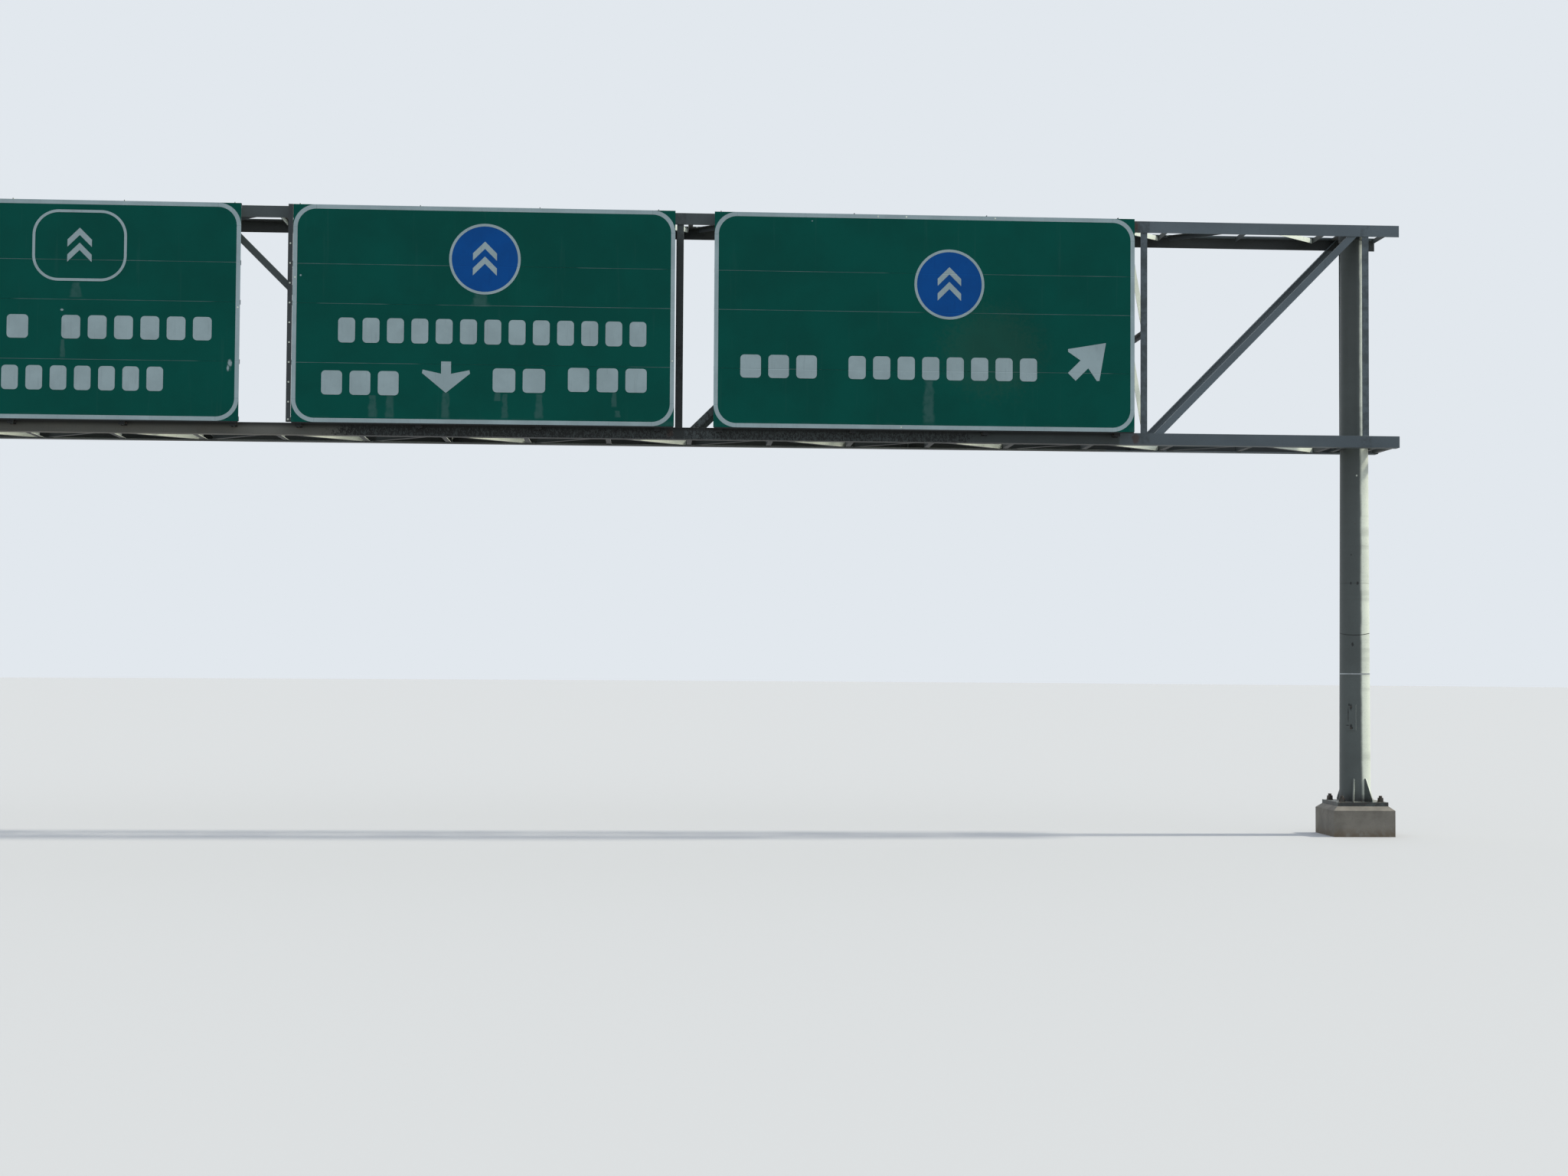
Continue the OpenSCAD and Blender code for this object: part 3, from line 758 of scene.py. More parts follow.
@shared("Stain", ("Mask",), Place=None, X=0.0, Z=0.0, Reach_X=0.1, Reach_Z=0.1)
def spot_group(t, given):
    """A stain with a ragged edge, round a place in X and Z."""
    parts = t.split(given["Place"])
    ragged = t.math("SUBTRACT", t.noise(given["Place"], 24.0, 4.0, 0.7), 0.5)
    squares = []
    for part, centre, reach in ((parts[X], "X", "Reach X"), (parts[Z], "Z", "Reach Z")):
        offset = t.math("DIVIDE", t.math("SUBTRACT", part, given[centre]), given[reach])
        squares.append(t.math("MULTIPLY", offset, offset))
    distance = t.math("SQRT", t.math("ADD", *squares))
    return [t.fall(t.math("MULTIPLY_ADD", ragged, 1.3, distance), 0.45, 1.05)]


@shared("Drip", ("Mask",), Place=None, X=0.0, Top=0.0, Width=0.1, Length=0.3)
def drip_group(t, given):
    """A pale drip that starts narrow at its upper end and widens downwards."""
    parts = t.split(given["Place"])
    wander = t.math("SUBTRACT", t.noise(given["Place"], 9.0, 2.0), 0.5)
    shift = t.math("MULTIPLY", wander, t.times(given["Width"], 0.6))
    offset = t.math("SUBTRACT", t.math("ADD", parts[X], shift), given["X"])
    down = t.math("DIVIDE", t.math("SUBTRACT", given["Top"], parts[Z]), given["Length"])
    half = t.math("MULTIPLY", given["Width"], t.span(down, 0.0, 0.9, 0.40, 0.54))
    inside = t.fall(t.math("DIVIDE", t.math("ABSOLUTE", offset), half), 0.5, 1.15)
    ends = t.times(t.span(down, -0.02, 0.04), t.fall(down, 0.88, 1.02))
    return [t.times(inside, ends, t.span(wander, -0.3, 0.1, 0.45, 1.0))]


@shared("Flaking", ("Mask",), Place=None, Amount=0.5)
def flaking_group(t, given):
    """Paint that has come off in upright flakes: 1 where it is gone."""
    upright = t.stretched(given["Place"], 1.0, 1.0, 0.55)
    wide = t.noise(upright, 30.0, 5.0, 0.76)
    fine = t.noise(upright, 120.0, 3.0, 0.65)
    both = t.math("MULTIPLY_ADD", fine, 0.35, t.math("MULTIPLY", wide, 0.82))
    start = t.math("SUBTRACT", 0.80, t.math("MULTIPLY", given["Amount"], 0.262))
    return [t.span(both, start, t.math("ADD", start, 0.035))]


@shared("Settled dust", ("Mask",), Place=None, Amount=0.7)
def dust_group(t, given):
    """Dust that settles on faces that look up: 1 where it lies thick."""
    upward = t.split(t.add("ShaderNodeTexCoord").outputs["Normal"])[Z]
    uneven = t.noise(given["Place"], 7.0, 4.0, 0.65)
    return [t.times(t.span(upward, 0.55, 0.95), t.span(uneven, 0.25, 0.75), given["Amount"])]


@shared("Bleached paint and painted sunlight", ("Mask",), Place=None, Towards=None, Amount=0.8)
def chalk_and_sunlight_group(t, given):
    """Chalked paint and painted sunlight: 1 on faces that look towards the sun's side."""
    dot = t.add("ShaderNodeVectorMath", {0: t.add("ShaderNodeTexCoord").outputs["Normal"],
                                         1: given["Towards"]}, operation="DOT_PRODUCT").outputs["Value"]
    uneven = t.math("SUBTRACT", t.noise(given["Place"], 3.0, 4.0, 0.65), 0.5)
    return [t.times(t.span(t.math("MULTIPLY_ADD", uneven, 0.12, dot), 0.04, 0.20), given["Amount"])]


class Paint(Tree):
    """One material: its tree, the place on the surface, the Principled shader and the shared effects"""

    def __init__(self, name, **constants):
        self.material = bpy.data.materials.new(name)
        self.material.use_nodes = True
        super().__init__(self.material.node_tree)
        self.shader = next(n for n in self.tree.nodes if n.type == "BSDF_PRINCIPLED")
        coordinates = self.add("ShaderNodeTexCoord").outputs
        self.place = coordinates["Object"]
        self.parts = self.split(self.place)
        self.normal = self.split(coordinates["Normal"])
        for socket, value in constants.items():
            self.shader.inputs[socket.replace("_", " ")].default_value = value

    def mottle(self, patch, grain):
        """Patches and grains."""
        made = self.group(mottle_group(), Place=self.place, Patch=patch, Grain=grain)
        return made["Patches"], made["Grains"]

    def runs(self, spacing, length, cover):
        made = self.group(streak_group(), Place=self.place, Spacing=spacing, Length=length, Cover=cover)
        return made["Streaks"]

    def stain(self, x, z, reach_x, reach_z, place=None):
        made = self.group(spot_group(), Place=place or self.place, X=x, Z=z, Reach_X=reach_x, Reach_Z=reach_z)
        return made["Mask"]

    def dust(self, amount):
        return self.group(dust_group(), Place=self.place, Amount=amount)["Mask"]

    def looks_forward(self):
        """1 on faces that look towards -Y."""
        return self.fall(self.normal[Y], -0.9, -0.5)

    def finish(self, base, roughness, height, distance, metallic=None):
        """Feeds the shader; distance is the height in metres that a height of 1 stands for."""
        bump = self.add("ShaderNodeBump", {"Height": height, "Distance": distance, "Strength": 0.7})
        for socket, value in (("Base Color", base), ("Roughness", roughness), ("Metallic", metallic),
                              ("Normal", bump.outputs[0])):
            if value is not None:
                self.feed(self.shader.inputs[socket], value)
        return self.material


def sheet_joints():
    """Heights of the joints between the sheets, from the lowest."""
    sheets = sorted({(round(s[0].z, 4), round(s[1].z, 4)) for s in solids("middle_sign_sheets")})
    return [(lower[1] + upper[0]) / 2 for lower, upper in zip(sheets, sheets[1:])]


def green_sheet(film):
    """Green reflective film on the fronts of the sheets, bare aluminium elsewhere."""
    t = Paint("Green film on sheet", Specular_IOR_Level=0.06)
    place = t.place
    x, _, z = t.parts
    patches, grains = t.mottle(0.9, 0.012)
    haze = blended(film.green, film.white, 0.16)
    colour = t.toned(film.green, t.span(patches, *EVEN), 0.10)
    colour = t.over(colour, scaled(film.green, 1.25), t.span(grains, 0.35, 0.7), 0.16)
    colour = t.over(colour, haze, t.runs(0.07, 1.4, 0.35), 0.10)
    drips, peels = [], []
    for sign, panel in PANELS.items():
        for drip_x, drop, width, run in panel["drips"]:
            at_x, at_z = panel_place(sign, drip_x, drop)
            drips.append(t.group(drip_group(), Place=place, X=at_x, Top=at_z, Width=width,
                                 Length=run)["Mask"])
        for peel_x, drop, *reach in panel["peels"]:
            peels.append(t.stain(*panel_place(sign, peel_x, drop), *reach))
        if "haze" in panel:
            haze_x, drop, *reach = panel["haze"]
            dirty = t.stain(*panel_place(sign, haze_x, drop), *reach)
            colour = t.over(colour, srgb(84, 86, 62), dirty, 0.09)
    colour = t.over(colour, haze, t.most(*drips), 0.6)
    colour = t.over(colour, film.white, t.most(*peels), 0.85)
    # The film stops short of each joint, and the bare edges shine where the joint is clean
    seams = []
    for index, joint in enumerate(reversed(sheet_joints())):
        shown = [t.between(x, panel_place(sign, start, 0)[0], panel_place(sign, stop, 0)[0], 0.12)
                 for sign, panel in PANELS.items() for row, start, stop in panel["seams"] if row == index]
        seams.append(t.times(t.between(z, joint - film.seam_w, joint + film.seam_w, 0.001), t.most(*shown)))
    clean = t.span(t.noise(t.stretched(place, 1.0, 1.0, 4.0), 1.4, 4.0, 0.65), 0.38, 0.6, 0.45, 0.9)
    colour = t.over(colour, blended(film.green, film.white, 0.5), t.most(*seams), clean)
    bottom = low("middle_sign_sheets").z
    foot = t.span(z, bottom, bottom + 0.10, 0.5, 0.0)
    colour = t.over(colour, haze, foot, t.span(t.noise(place, 5.0), 0.45, 0.7))
    # Back and edges
    front = t.looks_forward()
    bare = t.toned(film.sheet, t.span(t.noise(t.stretched(place, 0.6, 1.0, 2.2), 2.4, 4.0), *EVEN), 0.16)
    bare = t.over(bare, scaled(film.sheet, 0.6), t.runs(0.05, 0.9, 0.5), 0.35)
    roughness = t.blend(front, 0.55, t.span(patches, 0.2, 0.8, 0.36, 0.50))
    height = t.math("MULTIPLY_ADD", grains, 0.25, t.times(t.noise(place, 3.0), 0.75))
    return t.finish(t.over(bare, colour, front), roughness, height, 0.0012,
                        t.span(front, 0.0, 1.0, 0.7, 0.0))


def film_paint(name, colour, wear):
    """A film or raised copy: dull, a little uneven, greyer where water has run over it."""
    t = Paint(name, Specular_IOR_Level=0.08)
    z = t.parts[Z]
    patches, grains = t.mottle(0.35, 0.009)
    base = t.toned(colour, t.span(patches, *EVEN), 0.07)
    base = t.over(base, scaled(colour, 0.72), t.runs(0.03, 0.35, 0.45), wear)
    base = t.over(base, scaled(colour, 0.6), t.span(grains, 0.62, 0.75), wear)
    # Painted shade and highlight where the film lies over a joint of the sheets: a dark line in the crease,
    # and a pale line under it
    kept = t.span(t.noise(t.place, 6.0), 0.35, 0.5)
    for joint in sheet_joints():
        for tone, foot, top, how_much in ((0.45, -0.001, 0.001, 0.6), (1.5, -0.007, -0.004, 0.7)):
            base = t.over(base, scaled(colour, tone), t.between(z, joint + foot, joint + top, 0.002), kept,
                          how_much)
    height = t.math("MULTIPLY_ADD", grains, 0.4, t.times(patches, 0.6))
    return t.finish(base, t.span(patches, 0.2, 0.8, 0.38, 0.55), height, 0.0006)


def weathered(name, steel, colour, special, patch=0.6, run_cover=0.3, rough=0.62, chalk_and_sunlight=0.6):
    """Old paint on rolled steel: uneven tone, run marks, rust specks, dust on top, pale chalked paint with
    painted sunlight on the sun's side, and painted shade on faces that look down.

    special takes the paint, its base colour and its height, and gives both back with what one material adds.
    """
    t = Paint(name, Specular_IOR_Level=0.3)
    place = t.place
    patches, grains = t.mottle(patch, 0.014)
    tone = t.span(patches, *EVEN)
    # Painted sunlight, partly real chalked paint: faces towards the sun's side take the pale colour
    chalky_and_sunlit = t.group(chalk_and_sunlight_group(), Place=place, Towards=steel.sun_side, Amount=chalk_and_sunlight)["Mask"]
    base = t.over(t.toned(colour, tone, 0.14), t.toned(steel.bleached, tone, 0.08), chalky_and_sunlit)
    # Painted shade: faces that look down are darkened towards the dark sheltered-face colour
    base = t.over(base, steel.soot_and_shade, t.span(t.normal[Z], -0.65, -0.35, 0.85, 0.0),
                  t.span(patches, 0.25, 0.5, 0.7, 1.0))
    base, height = special(t, base, t.math("MULTIPLY_ADD", grains, 0.5, t.times(patches, 0.2)))
    base = t.over(base, scaled(colour, 0.62), t.runs(0.035, 0.6, run_cover), 0.32)
    base = t.over(base, scaled(colour, 0.55), t.span(grains, 0.55, 0.75), 0.25)
    base = t.over(base, steel.rust, t.span(t.noise(place, 42.0, 4.0, 0.7), 0.66, 0.72),
                  t.span(patches, 0.45, 0.65), 0.7)
    dust = t.dust(0.75)
    roughness = t.most(t.math("MULTIPLY_ADD", patches, 0.25, rough - 0.12), t.times(dust, 0.9))
    return t.finish(t.over(base, steel.dust, dust), roughness, height, 0.0009)


def truss_paint(steel):
    """Paint of the truss: newer in the outer bays, flaked off on the front chord behind the middle panels."""
    flakes_from = low("middle_sign_sheets").x + FLAKES_FROM
    flakes_to = low("right_sign_sheets").x + FLAKES_TO
    chord_top = high("front_bottom_chord").z
    front, rear = high("front_bottom_chord").y, high("rear_verticals").y
    uprights = sorted({round((a.x + b.x) / 2, 3) for a, b, _ in solids("front_verticals")})
    dark = uprights[DARK_UPRIGHT]
    splice, outer = uprights[-2] - NEWER_LOW, uprights[-2] - NEWER_HIGH

    def special(t, base, height):
        place = t.place
        x, y, z = t.parts
        distance = t.math("ABSOLUTE", x)
        low_chord = t.fall(z, chord_top, chord_top + 0.01)
        in_front = t.fall(y, front - 0.02, front + 0.02)
        newer = t.span(t.math("SUBTRACT", distance, t.blend(low_chord, outer, splice)), 0.0, 0.02)
        uneven = t.noise(t.stretched(place, 0.6, 1.0, 1.0), 2.0, 3.0)
        tone = t.span(uneven, *EVEN)
        base = t.over(base, t.toned(steel.outer, tone, 0.09), newer)
        base = t.over(base, t.toned(scaled(steel.outer, 0.78), tone, 0.09), newer, low_chord, 0.9)
        # Water stains on the chords beside the uprights
        stains = [t.between(t.math("SUBTRACT", x, upright), -0.055, 0.060, 0.03) for upright in uprights]
        ragged = t.span(t.noise(place, 9.0, 4.0, 0.65), 0.35, 0.62)
        base = t.over(base, scaled(steel.truss, 0.5), t.most(*stains), ragged, 0.55)
        rusty = t.most(*(t.stain(*spot) for spot in rust_places()))
        base = t.over(base, steel.rust, rusty, in_front, 0.6)
        # Dust on the front bottom chord left of where its paint has flaked
        base = t.over(base, steel.dust, t.fall(x, flakes_from - 0.5, flakes_from), low_chord, in_front,
                      t.span(uneven, *EVEN, 0.3, 0.5), t.span(x, -outer, -outer + 0.02))
        # Painted shade along the top of the front bottom chord close under the panels, and thin dirt right of
        # where the flakes begin
        under_panels = t.times(low_chord, in_front, t.fall(distance, splice - 0.02, splice))
        dirt = t.most(t.span(z, chord_top - 0.080, chord_top - 0.015, 0.0, 0.85),
                      t.span(x, flakes_from - 0.5, flakes_from, 0.0, 0.25))
        base = t.over(base, steel.tar, under_panels, dirt)
        # One dark upright, and the flaked stretch of the front bottom chord with what stands on it
        on_dark = t.times(t.between(x, dark - 0.06, dark + 0.06, 0.01),
                          t.span(z, chord_top + 2.3, chord_top + 2.6, 0.65, 0.0), in_front)
        base = t.over(base, steel.tar, on_dark)
        along = t.math("MULTIPLY_ADD", t.noise(place, 1.7, 2.0), 0.7, x)
        stretch = t.times(t.between(along, flakes_from, flakes_to, 0.35),
                          t.span(x, flakes_from + 2.3, flakes_from + 3.6, 1.0, 0.86))
        amount = t.most(t.times(stretch, t.fall(z, chord_top + 0.05, chord_top + 0.55), in_front,
                                t.math("SUBTRACT", 1.0, on_dark)),
                        t.times(on_dark, t.between(z, chord_top + 0.66, chord_top + 1.05, 0.15), 1.3))
        flakes = t.group(flaking_group(), Place=place, Amount=amount)["Mask"]
        base = t.over(base, steel.tar, flakes, 0.93)
        # Painted shade: the rear chords' inner faces, sheltered under their flat legs, are darkened with the
        # sooty colour
        top_chord = low("front_top_chord").z
        in_chord = t.most(low_chord, t.span(z, top_chord - 0.01, top_chord))
        base = t.over(base, steel.soot_and_shade, t.looks_forward(), in_chord,
                      t.span(y, rear - 0.02, rear - 0.01), 0.85)
        return base, t.math("SUBTRACT", height, t.times(flakes, 0.5))
    return weathered("Truss paint", steel, steel.truss, special)


def bracing_paint(steel):
    """Paint of the bracing, the beams and the middle panel's bolted bar, whose bolt heads are bare zinc."""
    face = levels("middle_sign_edge_bar", Y)[1]
    foot, back = low("middle_sign_sheets").z, high("middle_sign_beams").y

    def special(t, base, height):
        _, y, z = t.parts
        # Painted shade on the beams' feet and the drip edges, which stand out dark under the panels' lower
        # edges
        base = t.over(base, steel.tar, t.span(z, foot, foot + 0.02, 0.85, 0.0),
                      t.fall(y, back, back + 0.002))
        # Painted sunlight: the laterals' standing legs that face the key light are made paler still
        sunlit_legs = t.between(t.math("ABSOLUTE", t.normal[Y]), 0.66, 0.84, 0.04)
        base = t.over(base, scaled(steel.bleached, 1.3), sunlit_legs, t.span(t.normal[X], 0.45, 0.55), 0.9)
        heads = t.fall(y, face - 0.001, face - 0.0005)
        return t.over(base, scaled(steel.bleached, 0.8), heads, 0.9), height
    # The bracing gets strong painted sunlight on the sun's side
    return weathered("Bracing paint", steel, steel.brace, special, chalk_and_sunlight=0.9)


def rust_places():
    """Where rust runs on the front chords, as (x, z, reach across, reach up): under the left panel's beams
    and beside three uprights."""
    bottom, top = box("front_bottom_chord"), box("front_top_chord")
    beams = solids("left_sign_beams") + solids("middle_sign_beams")[:1]
    places = [((a.x + b.x) / 2, bottom[1].z - 0.030, 0.060, 0.060) for a, b, _ in beams]
    uprights = [(a.x + b.x) / 2 for a, b, _ in solids("front_verticals")]
    places += [(x - 0.115, (bottom[0].z + bottom[1].z) / 2, 0.060, 0.085) for x in uprights[-4:-1:2]]
    return places + [(uprights[-2] - 0.12, (top[0].z + top[1].z) / 2, 0.055, 0.09)]


def post_paint(steel):
    """Paint of the posts and feet, with the scuffs, dark spots and rub lines of the right post."""
    pole = post("right")

    def special(t, base, height):
        place = t.place
        z = t.parts[Z]
        rings = t.noise(t.stretched(place, 0.3, 0.3, 7.0), 1.0, 3.0, 0.6)
        base = t.over(base, scaled(steel.post, 0.78), t.span(rings, 0.45, 0.7), 0.22)
        # Painted shade: darker higher up on the side away from the sun, where the ground throws less light up
        base = t.over(base, scaled(steel.post, 0.66), t.span(z, 1.6, 4.4, 0.0, 0.6),
                      t.span(rings, 0.2, 0.6, 1.0, 0.7), t.fall(t.normal[X], -0.2, 0.1))
        # The marks stand on the side that the photograph shows, turned square to X
        turned = t.add("ShaderNodeVectorRotate", {"Vector": place, "Center": pole.axis, "Angle": MARK_TURN},
                       rotation_type="Z_AXIS").outputs[0]
        across, depth, _ = t.split(turned)
        shown = t.fall(depth, pole.axis.y - 0.02, pole.axis.y - 0.01)
        dark, pale = ([t.stain(pole.axis.x + spot_x, *spot, place=turned) for spot_x, *spot in spots]
                      for spots in (POST_SPOTS, POST_PALE))
        offset = t.math("SUBTRACT", across, pole.axis.x)
        sag = t.math("MULTIPLY_ADD", t.math("MULTIPLY", offset, offset), 0.7, RUB_Z)
        rub = t.times(t.between(t.math("SUBTRACT", z, sag), -0.004, 0.004, 0.003),
                      t.span(t.noise(place, 11.0), 0.3, 0.5))
        seam = t.times(t.between(z, SEAM_Z - 0.003, SEAM_Z + 0.003, 0.002), 0.45)
        marks = t.times(t.most(rub, seam, *dark), shown, t.span(across, pole.axis.x - 0.5, pole.axis.x - 0.4))
        base = t.over(base, steel.tar, marks, 0.9)
        base = t.over(base, steel.bleached, t.most(*pale), shown, 0.8)
        # Sooty dirt and splashes on the foot, its plate and the gussets
        base = t.over(base, steel.soot_and_shade, t.span(z, pole.foot + 0.01, pole.foot + 0.16, 0.85, 0.0),
                      t.span(t.noise(place, 10.0, 4.0, 0.65), 0.25, 0.6))
        base = t.over(base, steel.rust, t.fall(z, pole.foot, pole.foot + 0.06),
                      t.span(t.noise(place, 17.0, 4.0, 0.7), 0.52, 0.66), 0.6)
        return base, t.math("MULTIPLY_ADD", rings, 0.4, t.math("MULTIPLY_ADD", marks, -0.5, height))
    # The posts get strong painted sunlight on the sun's side, with chalked paint
    return weathered("Post paint", steel, steel.post, special, patch=1.1, run_cover=0.18, rough=0.5,
                     chalk_and_sunlight=0.95)


def stained_zinc(name, steel, colour, cover=0.75):
    """Zinc on bolts and rods, dulled and rust stained."""
    t = Paint(name)
    patches, grains = t.mottle(0.05, 0.004)
    rusty = t.times(t.span(t.noise(t.place, 30.0, 4.0, 0.7), 0.52, 0.68), cover)
    base = t.over(t.toned(colour, t.span(patches, *EVEN), 0.25), steel.rust, rusty)
    return t.finish(base, t.span(rusty, 0.0, 1.0, 0.48, 0.85), grains, 0.0008,
                        t.span(rusty, 0.0, 1.0, 0.65, 0.0))


def mill_aluminium(film):
    """Stiffeners in mill aluminium, dulled, with water marks along them."""
    t = Paint("Mill aluminium")
    along = t.noise(t.stretched(t.place, 0.4, 6.0, 60.0), 1.0, 3.0, 0.6)
    marks = t.noise(t.place, 5.0, 4.0, 0.65)
    base = t.toned(film.sheet, t.span(along, *EVEN), 0.12)
    base = t.over(base, scaled(film.sheet, 0.62), t.span(marks, 0.45, 0.7), 0.4)
    base = t.over(base, scaled(film.sheet, 0.7), t.dust(0.6))
    return t.finish(base, t.span(marks, *EVEN, 0.4, 0.6), along, 0.0005,
                        t.span(marks, 0.4, 0.7, 0.85, 0.55))


def cast_concrete(steel):
    """Cast concrete: sand grain, air holes, run marks, and dirt towards the ground."""
    t = Paint("Cast concrete")
    place, colour = t.place, steel.concrete
    patches, grains = t.mottle(0.25, 0.004)
    base = t.toned(colour, t.span(patches, *EVEN), 0.2)
    base = t.over(base, scaled(colour, 0.62), t.span(grains, 0.5, 0.7), 0.4)
    cells = t.add("ShaderNodeTexVoronoi", {"Vector": place, "Scale": 38.0}).outputs["Distance"]
    holes = t.times(t.fall(cells, 0.10, 0.16), t.span(t.noise(place, 6.0), 0.5, 0.6))
    base = t.over(base, scaled(colour, 0.3), holes, 0.8)
    base = t.over(base, srgb(104, 88, 68), t.runs(0.06, 0.5, 0.4), 0.35)
    base = t.over(base, srgb(96, 84, 66), t.span(t.parts[Z], 0.0, 0.16, 0.75, 0.0),
                  t.span(t.noise(place, 12.0, 4.0), 0.3, 0.6))
    grit = t.math("MULTIPLY_ADD", grains, 0.5, t.times(patches, 0.4))
    return t.finish(base, 0.88, t.math("MULTIPLY_ADD", holes, -0.8, grit), 0.003)


# The operators, in the order in which they run


class GANTRY_OT_paint(bpy.types.Operator):
    """Makes the materials and paints the frame's own nodes"""
    bl_idname = "gantry.paint"
    bl_label = "Paint the structure"

    def execute(self, context):
        film, steel = context.scene.gantry_film, context.scene.gantry_steel
        finishes = {
            "truss_steel": truss_paint(steel),
            "bracing_steel": bracing_paint(steel),
            "post_steel": post_paint(steel),
            "bolt_steel": stained_zinc("Stained zinc", steel, steel.bolt),
            "pedestal_concrete": cast_concrete(steel),
            "green_sheet": green_sheet(film),
            "stiffener_aluminium": mill_aluminium(film),
        }
        for slot, finish in finishes.items():
            for node in nodes_of(slot):
                materials = mesh_of(node).materials
                materials.clear()
                materials.append(finish)
        film_paint("White film", film.white, 0.35)
        film_paint("Blue film", film.blue, 0.25)
        stained_zinc("Bleached rivets", steel, steel.bleached, 0.15)
        return {"FINISHED"}


class GANTRY_OT_round_edges(bpy.types.Operator):
    """Rounds the edges of the truss steel and the pedestals"""
    bl_idname = "gantry.round_edges"
    bl_label = "Round the edges"

    def execute(self, context):
        width = context.scene.gantry_steel.rounding
        for slot, times in (("truss_steel", 1), ("pedestal_concrete", CAST_ROUNDING)):
            for node in nodes_of(slot):
                modifiers = frame["nodes"][node].modifiers
                modifiers.new("Weld", "WELD").merge_threshold = SAME
                bevel = modifiers.new("Round", "BEVEL")
                bevel.width = width * times
                bevel.segments = 2
                bevel.limit_method = "ANGLE"
                bevel.angle_limit = BEVEL_TURN
        return {"FINISHED"}


class GANTRY_OT_borders(bpy.types.Operator):
    """Lays the white borders round the three panels, in lengths with open joints"""
    bl_idname = "gantry.borders"
    bl_label = "Lay the borders"

    def execute(self, context):
        film = context.scene.gantry_film
        radius, width, gap = film.corner_r, film.border_w, film.joint / 2
        slack = math.degrees(gap / radius)
        for sign in SIGNS:
            lowest, highest = box(f"{sign}_sign_sheets")
            y = lowest.y - film.film_t, lowest.y
            shape = Shape()
            for sx, sz, start in CORNERS:
                x = highest.x - radius if sx > 0 else lowest.x + radius
                z = highest.z - radius if sz > 0 else lowest.z + radius
                outer, inner = (arc(x, z, r, start + slack, start + 90 - slack, STEPS_IN["border"])
                                for r in (radius, radius - width))
                shape.plate(outer + inner[::-1], *y)
            middle_x, middle_z = (lowest.x + highest.x) / 2, (lowest.z + highest.z) / 2
            for z in (lowest.z + width / 2, highest.z - width / 2):
                shape.plate(box_outline(middle_x, z, highest.x - lowest.x - 2 * (radius + gap), width), *y)
            for x in (lowest.x + width / 2, highest.x - width / 2):
                shape.plate(box_outline(x, middle_z, width, highest.z - lowest.z - 2 * (radius + gap)), *y)
            shape.make(f"{sign}_sign_border", "White film")
            self.rivets(sign, film.rivet_w / 2, y[0])
        return {"FINISHED"}

    def rivets(self, sign, radius, front):
        """Low round heads where a border has been riveted on again."""
        shape, head = Shape(), Shape()
        head.strips([circle(radius * wide, out, SIDES["rivet"]) for wide, out in RIVET])
        for place in PANELS[sign]["rivets"]:
            x, z = panel_place(sign, *place)
            shape.place(head, facing((0, -1, 0), (x, front, z)))
        shape.make(f"{sign}_sign_rivets", "Bleached rivets", smooth=True)


class GANTRY_OT_markers(bpy.types.Operator):
    """Puts a plain marker on each panel: an outline on the left one, and blue discs on the other two"""
    bl_idname = "gantry.markers"
    bl_label = "Put up the markers"

    def execute(self, context):
        film = context.scene.gantry_film
        for sign in SIGNS:
            marker = PANELS[sign]["marker"]
            x, z = panel_place(sign, marker["x"], marker["drop"])
            width, height, disc = marker["width"], marker["height"], marker["form"] == "disc"
            back = low(f"{sign}_sign_sheets").y
            front, field_front = back - film.copy_t, back - film.film_t * 2
            radius = width / 2 if disc else height * OUTLINE_CORNER
            outer, inner = (rounded_box(x, z, width - 2 * inset, height - 2 * inset, radius - inset - SAME,
                                        STEPS_IN["marker"]) for inset in (0, film.edge_w))
            edge = Shape()
            edge.ring_plate(outer, inner, front, back)
            unit = height * CHEVRON
            for rise in CHEVRON_RISES:
                edge.plate([(x + a * unit, z + (b + rise) * unit) for a, b in CHEVRON_ARMS], front,
                           field_front if disc else back)
            edge.make(f"{sign}_sign_marker", "White film")
            if disc:
                field = Shape()
                field.plate(inner, field_front, back)
                field.make(f"{sign}_sign_marker_field", "Blue film")
        return {"FINISHED"}


class GANTRY_OT_words(bpy.types.Operator):
    """Puts rows of plain raised blocks where a panel has its words"""
    bl_idname = "gantry.words"
    bl_label = "Put up the rows of blocks"

    def execute(self, context):
        film = context.scene.gantry_film
        gap = film.block_gap
        for sign in SIGNS:
            shape = Shape()
            back = low(f"{sign}_sign_sheets").y
            for x, drop, width, height in PANELS[sign]["words"]:
                x, z = panel_place(sign, x, drop)
                count = max(1, round((width + gap) / (film.block_w + gap)))
                block = (width + gap) / count - gap
                for i in range(count):
                    centre = x - width / 2 + block / 2 + i * (block + gap)
                    outline = rounded_box(centre, z, block, height, film.block_r, STEPS_IN["block"])
                    shape.plate(outline, back - film.copy_t, back)
            shape.make(f"{sign}_sign_blocks", "White film")
        return {"FINISHED"}


class GANTRY_OT_arrows(bpy.types.Operator):
    """Puts up the plain direction arrows"""
    bl_idname = "gantry.arrows"
    bl_label = "Put up the arrows"

    def execute(self, context):
        film = context.scene.gantry_film
        for sign in SIGNS:
            arrow = PANELS[sign].get("arrow")
            if arrow:
                back = low(f"{sign}_sign_sheets").y
                outline = arrow_outline(arrow["form"], *panel_place(sign, arrow["x"], arrow["drop"]))
                shape = Shape()
                shape.plate(outline, back - film.copy_t, back)
                shape.make(f"{sign}_sign_arrow", "White film")
        return {"FINISHED"}


